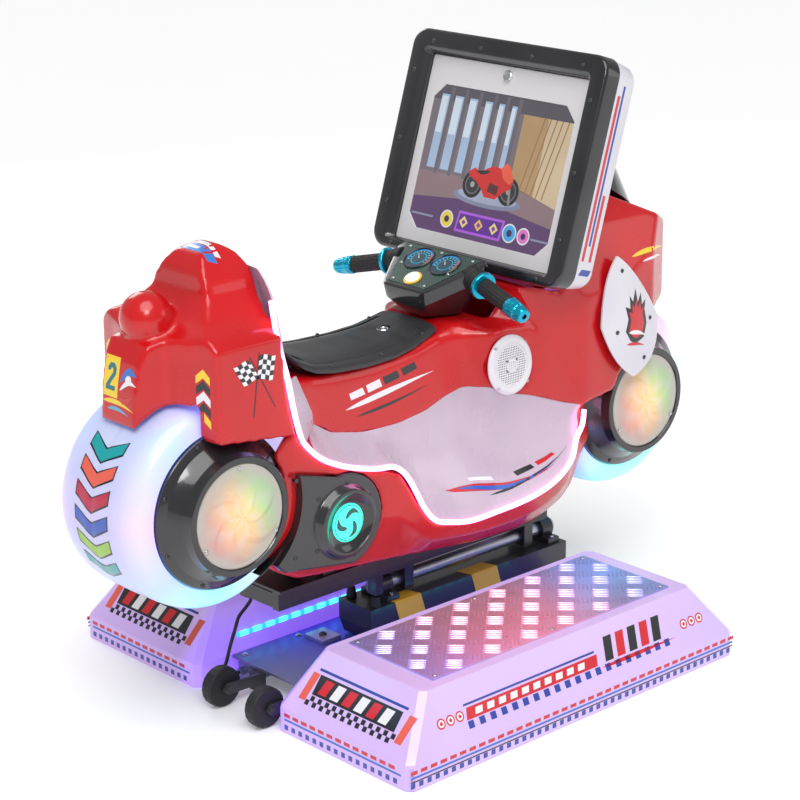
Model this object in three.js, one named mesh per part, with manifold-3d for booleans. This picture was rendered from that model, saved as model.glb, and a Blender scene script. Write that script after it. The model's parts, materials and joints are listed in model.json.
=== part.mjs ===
// A coin-operated ride: a motorcycle-shaped cabinet with a video screen that leans
// on a powered pivot between two glowing step platforms.
// Millimetres, +Z up, +X the way the rider faces, +Y the rider's left hand.
// The origin is on the floor, below the middle of the machine.
import * as THREE from "three";
import { mergeVertices } from "three/addons/utils/BufferGeometryUtils.js";
import Module from "manifold-3d";

const wasm = await Module();
wasm.setup();

// ---------------------------------------------------------------- driving dimensions
const GAP = 0.4; // clearance between pieces that touch
const WHEELBASE = 1070;
const TYRE_R = 196;
const TYRE_HALF = 121;
const TYRE_WALL = 6;
const HUB_R = 147.5;
const FAN_R = 96.5;
const FAN_FACE = 178; // outer face of the fan lens, from the mid-plane
const REAR_AXLE = [-WHEELBASE / 2, 469];
const FRONT_AXLE = [WHEELBASE / 2, 447];
const WHEEL_SLOT_R = TYRE_R + 9;
const WHEEL_SLOT_HALF = TYRE_HALF + 4;

const STEP_REAR = -420;
const STEP_FRONT = 465;
const STEP_IN = 119.7;
const STEP_OUT = 487.3;
const STEP_BELT = 49.6;
const STEP_TOP = 154.9;
const STEP_SLOPE = [79.9, 43.3, 49.7]; // slope inset at the ends, inner side, outer side
const STEP_WALL = 5;
const TREAD = [-294, 347, 184, 414]; // x from, x to, y from, y to
const TREAD_THICK = 3;

const LEAN_Z = 153; // height of the lean shaft
const SHAFT_R = 14;
const BEAM = [-115, 440, 48, 55, 128]; // x from, x to, half width, z from, z to
const PLATE_Z = [44, 50];
const CASTER_R = 40;
const CASTER_X = -428;
const CASTER_Y = { left: 34, right: -95 };
const CASTER_WIDTH = 26;
const CRANK_PIN_Y = 95.4;
const CRANK_Z = 105;
const CRANK_THROW = 14;
const ROD_TOP_Z = 205;
const GLAND = [-335, 52, 192]; // where the cable leaves the leaning chassis
const SOCKET = [-343, 86, 25]; // where it enters the base frame
const CABLE_R = 3.5;

const SHELL_WALL = 9; // the body skin, its recesses included
const PANEL_THICK = 3.5;
const NEON_R = 5;

const SCREEN_X = 258.9;
const SCREEN_Z = 963.1;
const SCREEN_TILT = 0.302; // the top leans forward, away from the rider
const DOOR = [434.9, 377.2]; // width across, height along the panel
const DOOR_THICK = 2.5;
const OPENING = [195, -161, 133, 28]; // half width, low, high, corner chamfer
const FRAME = [267, -214, 237]; // half width, low, high
const FRAME_FRONT = -22;
const FRAME_BACK = 18;
const BACK_DEPTH = 90;
const MONITOR = [376, 301, 40];

const FACE = { rear: 20, front: 138, z: 750, slope: 0.466, rearHalf: 63, frontHalf: 123 };
const FACE_TILT = Math.atan(FACE.slope); // the instrument face rises forward
const CONSOLE_X = 95; // the upright steering column
const CONSOLE_FOOT = 691;
const COLUMN_R = 20;
const BAR_R = 11;
const GRIP_FROM = [106, 136, 763];
const GRIP_TO = [84, 271, 731];
const GRIP_LENGTH = 136;
const BUTTON_X = 48;
const BUTTON_R = 15;

// ---------------------------------------------------------------- geometry helpers
const V = (x, y, z) => new THREE.Vector3(x, y, z);
const closed = (points) => new THREE.Shape(points.map(([a, b]) => new THREE.Vector2(a, b)));

// A solid for manifold-3d: only positions, with shared vertices merged.
function solid(geometry) {
  const bare = new THREE.BufferGeometry();
  bare.setAttribute("position", geometry.getAttribute("position"));
  bare.setIndex(geometry.index);
  const merged = mergeVertices(bare, 1e-3);
  const mesh = { numProp: 3, vertProperties: merged.attributes.position.array };
  mesh.triVerts = new Uint32Array(merged.index.array);
  return new wasm.Manifold(new wasm.Mesh(mesh));
}

function geometryOf(manifold) {
  const mesh = manifold.getMesh();
  const geometry = new THREE.BufferGeometry();
  geometry.setAttribute("position", new THREE.BufferAttribute(mesh.vertProperties, 3));
  geometry.setIndex(new THREE.BufferAttribute(mesh.triVerts, 1));
  return geometry;
}

const joined = (first, ...rest) =>
  geometryOf(rest.reduce((whole, piece) => whole.add(solid(piece)), solid(first)));
const cut = (first, ...rest) =>
  geometryOf(rest.reduce((whole, piece) => whole.subtract(solid(piece)), solid(first)));
const common = (first, ...rest) =>
  geometryOf(rest.reduce((whole, piece) => whole.intersect(solid(piece)), solid(first)));

// The main piece of a cut shape, without the crumbs a cut leaves beside it.
const mainPiece = (geometry) =>
  geometryOf(solid(geometry).decompose().reduce((big, next) => (next.volume() > big.volume() ? next : big)));

const mirrored = (geometry) => geometryOf(solid(geometry).mirror([0, 1, 0]));

function box(x0, x1, y0, y1, z0, z1) {
  const geometry = new THREE.BoxGeometry(x1 - x0, y1 - y0, z1 - z0);
  return geometry.translate((x0 + x1) / 2, (y0 + y1) / 2, (z0 + z1) / 2);
}

// A round bar between two points.
function bar(from, to, radius, sides = 16, endRadius = radius) {
  const a = V(...from);
  const b = V(...to);
  const geometry = new THREE.CylinderGeometry(endRadius, radius, a.distanceTo(b), sides);
  const turn = new THREE.Quaternion().setFromUnitVectors(V(0, 1, 0), b.clone().sub(a).normalize());
  geometry.applyQuaternion(turn);
  const middle = a.add(b).multiplyScalar(0.5);
  return geometry.translate(middle.x, middle.y, middle.z);
}

function extruded(points, depth) {
  return new THREE.ExtrudeGeometry(closed(points), { depth, bevelEnabled: false, curveSegments: 6 });
}

// Outlines drawn as (x, z), (y, z) and (x, y), carried along Y, X and Z.
const alongY = (points, y0, y1) =>
  extruded(points, y1 - y0).rotateX(Math.PI / 2).translate(0, y1, 0);
const alongX = (points, x0, x1) =>
  extruded(points.map(([y, z]) => [y, z]), x1 - x0)
    .rotateY(Math.PI / 2)
    .rotateX(Math.PI / 2)
    .translate(x0, 0, 0);
const alongZ = (points, z0, z1) => extruded(points, z1 - z0).translate(0, 0, z0);

// A half outline given for y >= 0, closed by its mirror image.
const bothSides = (half) => [...half, ...half.filter(([y]) => y > 0.01).map(([y, z]) => [-y, z]).reverse()];

const arc = (cx, cy, r, from, to, steps) =>
  Array.from({ length: steps + 1 }, (_, i) => {
    const angle = THREE.MathUtils.degToRad(from + ((to - from) * i) / steps);
    return [cx + r * Math.cos(angle), cy + r * Math.sin(angle)];
  });

// A round strand that follows a path.
const circle = (radius, sides) => arc(0, 0, radius, 0, 360 - 360 / sides, sides - 1);
const tubeAlong = (path, radius, steps, sides = 6) =>
  new THREE.ExtrudeGeometry(closed(circle(radius, sides)), { steps, extrudePath: path, bevelEnabled: false });

// Piecewise-linear value at x from a short list of [x, value] pairs.
function along(x, table) {
  const last = table.length - 1;
  const i = Math.min(Math.max(table.findIndex(([at]) => at > x), 1), last);
  const [x0, v0] = x >= table[last][0] ? table[last - 1] : table[i - 1];
  const [x1, v1] = x >= table[last][0] ? table[last] : table[i];
  return v0 + (v1 - v0) * THREE.MathUtils.clamp((x - x0) / (x1 - x0), 0, 1);
}

// Triangles over a flat ring, wound the way the ring runs. flatten picks two coordinates.
function capTriangles(ringPoints, flatten) {
  const flat = ringPoints.map((p) => new THREE.Vector2(...flatten(p.toArray())));
  const triangles = THREE.ShapeUtils.triangulateShape(flat, []);
  return THREE.ShapeUtils.isClockWise(flat) ? triangles.map(([a, b, c]) => [a, c, b]) : triangles;
}

// A closed skin through rings of equal length set across X; both ends are capped.
function loft(rings) {
  const count = rings[0].length;
  const index = [];
  rings.slice(1).forEach((_, i) => {
    for (let j = 0; j < count; j += 1) {
      const k = (j + 1) % count;
      const [a, b, c, d] = [i * count + j, i * count + k, (i + 1) * count + k, (i + 1) * count + j];
      index.push(a, b, c, a, c, d);
    }
  });
  const shift = (rings.length - 1) * count;
  const across = ([, y, z]) => [y, z];
  capTriangles(rings[0], across).forEach(([a, b, c]) => index.push(a, c, b));
  capTriangles(rings[rings.length - 1], across).forEach(([a, b, c]) => index.push(a + shift, b + shift, c + shift));
  return fromTriangles(rings.flat(), index);
}

// Triangles as a geometry, turned round if their volume comes out negative.
function fromTriangles(points, index) {
  let volume = 0;
  for (let i = 0; i < index.length; i += 3) {
    const [a, b, c] = [points[index[i]], points[index[i + 1]], points[index[i + 2]]];
    volume += a.dot(b.clone().cross(c));
  }
  const geometry = new THREE.BufferGeometry().setFromPoints(points);
  geometry.setIndex(volume < 0 ? index.slice().reverse() : index);
  return geometry;
}

// A sheet of even thickness: surface(u, v, inward) gives a point so far below the face.
function slab(stepsU, stepsV, surface, from, to) {
  const row = stepsV + 1;
  const points = [];
  [from, to].forEach((depth) => {
    for (let i = 0; i <= stepsU; i += 1) {
      for (let j = 0; j <= stepsV; j += 1) points.push(surface(i / stepsU, j / stepsV, depth));
    }
  });
  const back = (stepsU + 1) * row;
  const index = [];
  const quad = (a, b, c, d) => index.push(a, b, c, a, c, d);
  for (let i = 0; i < stepsU; i += 1) {
    for (let j = 0; j < stepsV; j += 1) {
      const a = i * row + j;
      quad(a, a + 1, a + row + 1, a + row);
      quad(back + a + row, back + a + row + 1, back + a + 1, back + a);
    }
  }
  for (let i = 0; i < stepsU; i += 1) {
    const [low, high] = [i * row, i * row + stepsV];
    quad(low, low + row, back + low + row, back + low);
    quad(back + high, back + high + row, high + row, high);
  }
  for (let j = 0; j < stepsV; j += 1) {
    const high = stepsU * row + j;
    quad(back + j, back + j + 1, j + 1, j);
    quad(high, high + 1, back + high + 1, back + high);
  }
  return fromTriangles(points, index);
}

// A turned piece about the Y axis through (x, z), from a profile of [radius, y].
function turned(profile, [x, z], sides = 24) {
  const points = profile.map(([r, y]) => new THREE.Vector2(r, y));
  return new THREE.LatheGeometry(points, sides).translate(x, 0, z);
}

const root = new THREE.Group();
const paint = (color, roughness = 0.4, metalness = 0) =>
  new THREE.MeshStandardMaterial({ color, roughness, metalness });

function add(name, geometry, material, parent = root) {
  const mesh = new THREE.Mesh(geometry, material);
  mesh.name = name;
  parent.add(mesh);
  return mesh;
}

// The same piece on the rider's left (+Y) and, mirrored, on the right (-Y).
function addPair(name, geometry, makeMaterial, parent = root) {
  add(name + "_left", geometry, makeMaterial(), parent);
  add(name + "_right", geometry, makeMaterial(), parent).scale.y = -1;
}

const redPlastic = () => paint(0xd8121a, 0.28);
const glowWhite = () => paint(0xe9dcf5, 0.35);
const glowLavender = () => paint(0xc7a9f2, 0.35);
const blackPlastic = () => paint(0x17171a, 0.4);
const blackSteel = () => paint(0x1b1c24, 0.45, 0.6);
const bareSteel = () => paint(0x8d9097, 0.4, 0.9);
const aluminium = () => paint(0xc9c3cf, 0.3, 0.9);
const rubber = () => paint(0x1c1c1e, 0.85);

// ---------------------------------------------------------------- step platforms
function platform() {
  const [ends, inner, outer] = STEP_SLOPE;
  const frustum = (grow, bottom, top) => {
    const ring = (inset, z) => {
      const x0 = STEP_REAR + grow + inset * ends;
      const x1 = STEP_FRONT - grow - inset * ends;
      const y0 = STEP_IN + grow + inset * inner;
      const y1 = STEP_OUT - grow - inset * outer;
      const corner = 12;
      return [
        V(x0 + corner, y0, z), V(x1 - corner, y0, z), V(x1, y0 + corner, z), V(x1, y1 - corner, z),
        V(x1 - corner, y1, z), V(x0 + corner, y1, z), V(x0, y1 - corner, z), V(x0, y0 + corner, z),
      ];
    };
    return stack([ring(0, bottom), ring(0, STEP_BELT), ring(1, top)]);
  };
  const shell = cut(frustum(0, 0, STEP_TOP), frustum(STEP_WALL, -1, STEP_TOP - STEP_WALL));
  const notch = (x) => box(x - 24, x + 24, STEP_IN - 10, STEP_IN + 40, -1, 43);
  return cut(shell, notch(CROSS_TUBES[0]), notch(CROSS_TUBES[1]));
}

// Horizontal rings joined from the floor up, capped with flat faces.
function stack(rings) {
  const count = rings[0].length;
  const index = [];
  rings.slice(1).forEach((_, i) => {
    for (let j = 0; j < count; j += 1) {
      const k = (j + 1) % count;
      const [a, b] = [i * count + j, i * count + k];
      index.push(a, b, b + count, a, b + count, a + count);
    }
  });
  const shift = (rings.length - 1) * count;
  capTriangles(rings[0], ([x, y]) => [x, y]).forEach(([a, b, c]) => {
    index.push(a, c, b, a + shift, b + shift, c + shift);
  });
  return fromTriangles(rings.flat(), index);
}

const CROSS_TUBES = [-250, 250];
addPair("platform", platform(), glowLavender);
const treadZ = STEP_TOP + GAP;
addPair("tread_plate", box(...TREAD, treadZ, treadZ + TREAD_THICK), aluminium);

// ---------------------------------------------------------------- base frame and pedestal
const frameTube = (x) => box(x - 20, x + 20, -STEP_OUT + 12, STEP_OUT - 12, 3, 41);
const basePlate = box(-335, 440, -116, 116, ...PLATE_Z);
const frameRail = (y) => box(-330, 435, y - 18, y + 18, 3, PLATE_Z[0]);
const socket = bar(SOCKET, [SOCKET[0] + 15, SOCKET[1], SOCKET[2]], 8, 12);
add("base_frame", joined(basePlate, frameTube(CROSS_TUBES[0]), frameTube(CROSS_TUBES[1]),
  frameRail(-86), frameRail(86), socket), bareSteel());

const beamOutline = [
  [BEAM[0] + 12, BEAM[3]], [BEAM[1], BEAM[3]], [BEAM[1], BEAM[4]], [BEAM[0], BEAM[4]], [BEAM[0], BEAM[4] - 42],
];
add("pedestal_beam", alongY(beamOutline, -BEAM[2], BEAM[2]), blackSteel());

const BEARINGS = [-47, 410];
function bearing(x) {
  const foot = box(x - 16, x + 16, -40, 40, BEAM[4] + GAP, BEAM[4] + 12);
  const collar = bar([x - 15, 0, LEAN_Z], [x + 15, 0, LEAN_Z], 24, 24);
  const bore = bar([x - 30, 0, LEAN_Z], [x + 30, 0, LEAN_Z], SHAFT_R + 0.3, 24);
  const trimmed = cut(collar, box(x - 30, x + 30, -40, 40, BEAM[4] - 40, BEAM[4] + GAP));
  return cut(joined(foot, trimmed), bore);
}
add("bearing_rear", bearing(BEARINGS[0]), blackSteel());
add("bearing_front", bearing(BEARINGS[1]), blackSteel());

const stopTop = 149;
const rubberStop = bar([-92, 36, BEAM[4] + GAP], [-92, 36, stopTop], 11, 16, 8);
addPair("rubber_stop", rubberStop, rubber);

// The gear motor stands beside the beam, on the rider's left, with its crank to the rear.
const motorBody = box(62, 150, 62, 108, PLATE_Z[1] + GAP, 140);
const motorCan = bar([150, 85, 100], [228, 85, 100], 26, 20);
const motorShaft = bar([50, CRANK_PIN_Y - CRANK_THROW, CRANK_Z], [64, CRANK_PIN_Y - CRANK_THROW, CRANK_Z], 6);
add("gear_motor", joined(motorBody, motorCan, motorShaft), blackSteel());

const crankY = CRANK_PIN_Y - CRANK_THROW;
const crankDisc = bar([49.5, crankY, CRANK_Z], [59, crankY, CRANK_Z], 24, 24);
const crankPin = bar([36, CRANK_PIN_Y, CRANK_Z], [52, CRANK_PIN_Y, CRANK_Z], 5);
const crankBore = bar([40, crankY, CRANK_Z], [70, crankY, CRANK_Z], 6 + GAP);
add("motor_crank", cut(joined(crankDisc, crankPin), crankBore), bareSteel());

const rodEye = (z) => bar([38.5, CRANK_PIN_Y, z], [47.5, CRANK_PIN_Y, z], 12, 20);
const rodBlade = box(39.5, 46.5, CRANK_PIN_Y - 6, CRANK_PIN_Y + 6, CRANK_Z, ROD_TOP_Z);
const rodBores = [CRANK_Z, ROD_TOP_Z].map((z) => bar([30, CRANK_PIN_Y, z], [60, CRANK_PIN_Y, z], 5 + GAP));
add("connecting_rod", cut(joined(rodBlade, rodEye(CRANK_Z), rodEye(ROD_TOP_Z)), ...rodBores), bareSteel());

// ---------------------------------------------------------------- tipping casters
function casterBracket(side) {
  const y = CASTER_Y[side];
  const cheek = y - CASTER_WIDTH / 2 - 9;
  const arm = alongY([[-336, 26], [-336, 41], [-352, 47], [CASTER_X, 52], [CASTER_X - 12, 40], [CASTER_X, 28]],
    cheek, cheek + 6);
  const foot = box(-350, -335.4, cheek, cheek + 34, 6, 43);
  const pin = bar([CASTER_X, cheek - 3, CASTER_R], [CASTER_X, y + CASTER_WIDTH / 2 + 7, CASTER_R], 6);
  return joined(arm, foot, pin);
}
function casterWheel(side) {
  const half = CASTER_WIDTH / 2;
  const r = CASTER_R;
  const profile = [
    [6 + GAP, -half], [r - 3, -half], [r, -half + 3], [r, half - 3], [r - 3, half], [6 + GAP, half],
    [6 + GAP, -half],
  ];
  return turned(profile, [0, 0], 20).translate(CASTER_X, CASTER_Y[side], r);
}
["left", "right"].forEach((side) => {
  add("caster_bracket_" + side, casterBracket(side), blackSteel());
  add("caster_wheel_" + side, casterWheel(side), rubber());
});

// ---------------------------------------------------------------- chassis of the leaning bike
add("pivot_shaft", bar([-75, 0, LEAN_Z], [438, 0, LEAN_Z], SHAFT_R, 24), bareSteel());

function chassis() {
  const rails = [-49, 49].map((y) => box(-357, 370, y - 9, y + 9, 200, 236));
  const crossPlates = [-345, -90, 10, 200, 350].map((x) => box(x - 12, x + 12, -58, 58, 203, 233));
  const clamp = (x) => cut(
    box(x - 12, x + 12, -24, 24, LEAN_Z - 19, 210),
    bar([x - 20, 0, LEAN_Z], [x + 20, 0, LEAN_Z], SHAFT_R + 0.05, 24),
  );
  const stopPad = (y) => box(-102, -82, y - 12, y + 12, 156, 210);
  const posts = [-230, 230].flatMap((x) => [-49, 49].map((y) => box(x - 15, x + 15, y - 9, y + 9, 230, 330)));
  const lug = joined(
    box(27, 37, 48, CRANK_PIN_Y + 12, ROD_TOP_Z - 4, 233),
    bar([27, CRANK_PIN_Y, ROD_TOP_Z], [37, CRANK_PIN_Y, ROD_TOP_Z], 12, 20),
  );
  const apron = box(-357, -150, -64, 64, 236 - 1, 241);
  const gland = bar([GLAND[0], GLAND[1], GLAND[2]], [GLAND[0], GLAND[1], GLAND[2] + 10], 8, 12);
  return joined(rails[0], rails[1], ...crossPlates, clamp(10), clamp(350), stopPad(-36), stopPad(36),
    ...posts, lug, apron, gland);
}
add("chassis", chassis(), blackSteel());

// The lighting and control cable hangs in a loose bend from the chassis to the base.
const cablePath = new THREE.CatmullRomCurve3([
  V(GLAND[0], GLAND[1], GLAND[2] - 1.2), V(-336, 52, 186), V(-345, 54, 174), V(-362, 56, 158), V(-374, 56, 132), V(-385, 57, 104),
  V(-393, 58, 78), V(-396, 62, 60), V(-390, 70, 40), V(-375, 79, 28), V(-358, 85, 25),
  V(SOCKET[0] - GAP, SOCKET[1], SOCKET[2]),
], false, "centripetal");
add("signal_cable", tubeAlong(cablePath, CABLE_R, 24, 8), blackPlastic());

// ---------------------------------------------------------------- wheels
function tyreProfile() {
  const crown = [
    [150, TYRE_HALF], [166, 119], [186, 106], [TYRE_R, 74],
  ];
  const skin = [...crown.map(([r, y]) => [r, -y]), ...crown.slice().reverse()];
  const inner = crown.map(([r, y]) => [r - (r > 155 ? TYRE_WALL : 0), y - TYRE_WALL]);
  const lining = [...inner, ...inner.slice().reverse().map(([r, y]) => [r, -y])];
  return [...skin, ...lining, skin[0]];
}
const hubProfile = [
  [0, GAP], [34, GAP], [34, 146], [98, 146], [138, 113], [HUB_R, 113], [HUB_R, 127], [132, 133],
  [113, 159], [109, FAN_FACE - 1], [98, FAN_FACE - 1], [98, 163], [0, 163],
];
const fanProfile = [[0, 163 + GAP], [FAN_R, 163 + GAP], [FAN_R, 175], [0, FAN_FACE + 3]];
[["rear", REAR_AXLE], ["front", FRONT_AXLE]].forEach(([which, axle]) => {
  add(which + "_tyre", turned(tyreProfile(), axle, 28), paint(0xd6e6fb, 0.3));
  addPair(which + "_hub", turned(hubProfile, axle), blackPlastic);
  addPair(which + "_fan", turned(fanProfile, axle), () => paint(0xf2e3c8, 0.3));
});
// The space that the wheel, and its wider hub covers, need in the bodywork.
const wheelSlot = (axle) => bar([axle[0], -WHEEL_SLOT_HALF, axle[1]], [axle[0], WHEEL_SLOT_HALF, axle[1]],
  WHEEL_SLOT_R, 30);
const wellSteps = [[113, 195], [116, 162], [136, 136], [HUB_R + 3, 130]];
const wellProfile = [[0, -195], ...wellSteps.map(([r, y]) => [r, -y]), ...wellSteps.slice().reverse(), [0, 195]];
const hubWell = (axle) => turned(wellProfile, axle, 28);

// ---------------------------------------------------------------- seat
const SEAT_TOP = [[-345, 724], [-322, 694], [-295, 680], [-250, 671], [-170, 665], [-90, 665], [-31, 671], [14, 682],
  [34, 688]];
const SEAT_HALF = [[-345, 60], [-322, 98], [-295, 108], [-170, 106], [-90, 100], [14, 84], [34, 80]];
const SEAT_THICK = 13;
const SEAT_X = [-345, -322, -295, -250, -170, -90, -31, 14, 34];
const LID_X = [-293, -250, -170, -90, -31, 8];
const LID_MARGIN = 22;
function seatRing(x, extra, low, high) {
  const half = along(x, SEAT_HALF) + extra;
  const top = along(x, SEAT_TOP);
  const side = [[half, top + low], [half, top + high - 5], [half - 6, top + high - 1], [half * 0.55, top + high + 5]];
  return bothSides(side).map(([y, z]) => V(x, y, z));
}
const seatWhole = loft(SEAT_X.map((x) => seatRing(x, 0, -SEAT_THICK, 0)));
const holeX = [LID_X[0] - 0.6, ...LID_X.slice(1, -1), LID_X[LID_X.length - 1] + 0.6];
const lidHole = loft(holeX.map((x) => seatRing(x, 0.6 - LID_MARGIN, -40, 20)));
const seatBed = loft(SEAT_X.map((x) => seatRing(x, 1, -SEAT_THICK - GAP, 60)));
const seatLid = loft(LID_X.map((x) => seatRing(x, -LID_MARGIN, -6, 3)));
const LOCK_X = -31;
const LOCK_R = 14;
const lockTop = along(LOCK_X, SEAT_TOP) + 3.4;
const lockHole = bar([LOCK_X, 0, 600], [LOCK_X, 0, 720], LOCK_R + GAP, 16);
add("seat_frame", cut(seatWhole, lidHole), blackPlastic());
add("seat_lid", cut(seatLid, lockHole), blackPlastic());
const lockBody = joined(bar([LOCK_X, 0, lockTop - 18], [LOCK_X, 0, lockTop], LOCK_R, 16),
  box(LOCK_X - 4, LOCK_X + 4, -4, 4, lockTop - 26, lockTop - 10),
  box(LOCK_X - 4, LOCK_X + 30, -5, 5, lockTop - 26, lockTop - 22));
add("seat_lock", lockBody, paint(0xb9bcc2, 0.25, 0.9));

// ---------------------------------------------------------------- side fittings
const BADGE = [-284, 393];
const ARM_END_R = 92;
const ARM_IN = 152;
const ARM_OUT = 168;
function armOutline(grow) {
  const tip = arc(...BADGE, ARM_END_R + grow, -76, 100, 9);
  return [...tip, [-430, 520 + grow], [-500, 500], [-480, 380], [-430, 330 - grow]];
}
function armCover() {
  const plate = alongY(armOutline(0), ARM_IN, ARM_OUT);
  const boss = bar([BADGE[0], ARM_OUT - 2, BADGE[1]], [BADGE[0], ARM_OUT + 16, BADGE[1]], 72, 22, 66);
  const seat = bar([BADGE[0], ARM_OUT + 8, BADGE[1]], [BADGE[0], ARM_OUT + 30, BADGE[1]], 57, 22);
  return cut(joined(plate, boss), seat, hubWell(REAR_AXLE));
}
addPair("arm_cover", armCover(), blackPlastic);
const armBed = alongY(armOutline(GAP), ARM_IN - GAP, 220);

// The speaker's face leans with the body side it is let into.
const SPEAKER = { x: 151, y: 162, z: 602, lean: 0.1, r: 59, magnet: 38, depth: 12 };
const speakerProfile = [[0, -SPEAKER.depth], [SPEAKER.magnet, -SPEAKER.depth], [46, 0], [SPEAKER.r, 0],
  [SPEAKER.r, 4], [53, 9], [43, 7], [0, 8]];
const placeSpeaker = (geometry) => geometry.rotateX(SPEAKER.lean).translate(SPEAKER.x, SPEAKER.y, SPEAKER.z);
addPair("speaker", placeSpeaker(turned(speakerProfile, [0, 0], 20)), () => paint(0xe6e4e8, 0.4));
const speakerBed = placeSpeaker(joined(
  bar([0, -GAP, 0], [0, 60, 0], SPEAKER.r + GAP, 20),
  bar([0, -SPEAKER.depth - 8, 0], [0, 10, 0], SPEAKER.magnet + 9, 20),
));

// ---------------------------------------------------------------- body shell
// Across the body, from the keel up: sole edge, rim that carries the neon, hollow of the
// side panel, foot and top of the waist wall, shoulder and crown.
const KEEL_Z = [[-460, 352], [-430, 322], [-370, 292], [-270, 282], [-155, 272], [-4, 256], [87, 246],
  [215, 244], [282, 257], [332, 272], [368, 298], [400, 360]];
const SOLE_Y = [[-460, 126], [-400, 138], [250, 140], [340, 134], [400, 128]];
const RIM_Y = [[-460, 140], [-396, 158], [-295, 165], [-205, 172], [-148, 180], [-101, 186], [-34, 190],
  [300, 190], [345, 172], [400, 140]];
const RIM_Z = [[-460, 470], [-400, 640], [-396, 609], [-373, 565], [-339, 529], [-295, 504], [-247, 487],
  [-205, 477], [-167, 472], [-148, 458], [-134, 439], [-118, 410], [-101, 377], [-69, 342], [-34, 331],
  [6, 322], [98, 321], [149, 323], [201, 329], [244, 340], [279, 358], [306, 384], [323, 415], [337, 470],
  [400, 430]];
const WAIST_FOOT = { y: [[-460, 130], [-340, 122], [-314, 112], [-186, 108], [31, 108], [71, 115], [85, 140],
  [105, 160], [132, 168], [335, 184], [400, 138]],
z: [[-460, 480], [-340, 600], [-314, 577], [-264, 546], [-186, 528], [-92, 522], [-20, 530], [31, 547],
  [71, 560], [105, 560], [132, 544], [198, 527], [287, 495], [337, 482], [400, 440]] };
const WAIST_TOP = { y: [[-460, 125], [-340, 108], [-293, 104], [58, 96], [80, 120], [110, 150], [200, 158],
  [300, 172], [345, 180], [400, 134]],
z: [[-460, 490], [-340, 662], [-293, 646], [-230, 634], [-132, 632], [-42, 645], [58, 664], [90, 672],
  [183, 678], [245, 645], [345, 490], [400, 450]] };
const CROWN = { y: [[-460, 60], [-340, 98], [58, 90], [100, 92], [150, 112], [345, 150], [400, 100]],
z: [[-460, 495], [-340, 664], [-230, 652], [-132, 650], [-42, 656], [30, 672], [60, 686], [149, 688],
  [180, 738], [345, 738], [400, 700]] };
const BODY_X = [-460, -430, -396, -373, -339, -295, -247, -190, -148, -118, -101, -69, -34, 30, 72, 90, 110,
  149, 201, 244, 279, 306, 323, 337, 360, 400];

// One point of the section at x. The hollow lies between the rim and the waist foot.
function hollowPoint(x) {
  const rim = [along(x, RIM_Y), along(x, RIM_Z)];
  const foot = [along(x, WAIST_FOOT.y), along(x, WAIST_FOOT.z)];
  const depth = along(x, [[-340, 8], [-200, 10], [-100, 34], [60, 58], [180, 52], [300, 26], [337, 4]]);
  return [(rim[0] + foot[0]) / 2 - depth, (rim[1] * 0.55 + foot[1] * 0.45)];
}

function sectionHalf(x) {
  const rim = [along(x, RIM_Y), along(x, RIM_Z)];
  const foot = [along(x, WAIST_FOOT.y), along(x, WAIST_FOOT.z)];
  const keel = along(x, KEEL_Z);
  return [
    [along(x, SOLE_Y), keel],
    [(along(x, SOLE_Y) + rim[0]) / 2 + 12, (keel + rim[1]) / 2],
    rim,
    hollowPoint(x),
    foot,
    [along(x, WAIST_TOP.y), along(x, WAIST_TOP.z)],
    [along(x, CROWN.y), along(x, CROWN.z)],
  ];
}

// The outline moved inwards by an even distance, corner by corner.
function inset(outline, distance) {
  const count = outline.length;
  return outline.map(([y, z], i) => {
    const [py, pz] = outline[(i + count - 1) % count];
    const [ny, nz] = outline[(i + 1) % count];
    const before = new THREE.Vector2(y - py, z - pz).normalize();
    const after = new THREE.Vector2(ny - y, nz - z).normalize();
    const inward = new THREE.Vector2(-before.y - after.y, before.x + after.x).normalize();
    const stretch = 1 / Math.max(0.6, inward.dot(new THREE.Vector2(-before.y, before.x)));
    return [y + inward.x * distance * stretch, z + inward.y * distance * stretch];
  });
}

const ring = (x, outline) => outline.map(([y, z]) => V(x, y, z));
const bodyOutline = (x) => bothSides(sectionHalf(x));
const outerBody = loft(BODY_X.map((x) => ring(x, bodyOutline(x))));
// [station, station whose outline it takes]: the lining opens out a little after the waist does.
const LINING = [[-322, -322], [-247, -247], [-148, -148], [-101, -101], [-34, -34], [40, 34], [80, 58], [100, 72],
  [128, 100], [201, 190], [279, 279], [322, 322]];
const innerBody = loft(LINING.map(([x, from]) => ring(x, inset(bodyOutline(from), SHELL_WALL))));
const bellyOpening = box(-322, 318, -92, 92, 200, 330);

// The slanted line, seen from the side, where the body ends and the fairing begins.
const FAIRING_LINE = [[183, 745], [345, 483], [352, 470]];
const aheadOfLine = (shift) => [
  [FAIRING_LINE[0][0] - 62 + shift, FAIRING_LINE[0][1] + 100], [FAIRING_LINE[0][0] + shift, FAIRING_LINE[0][1]],
  [FAIRING_LINE[1][0] + shift, FAIRING_LINE[1][1]], [460 + shift, 483], [460 + shift, 845],
];

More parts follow.
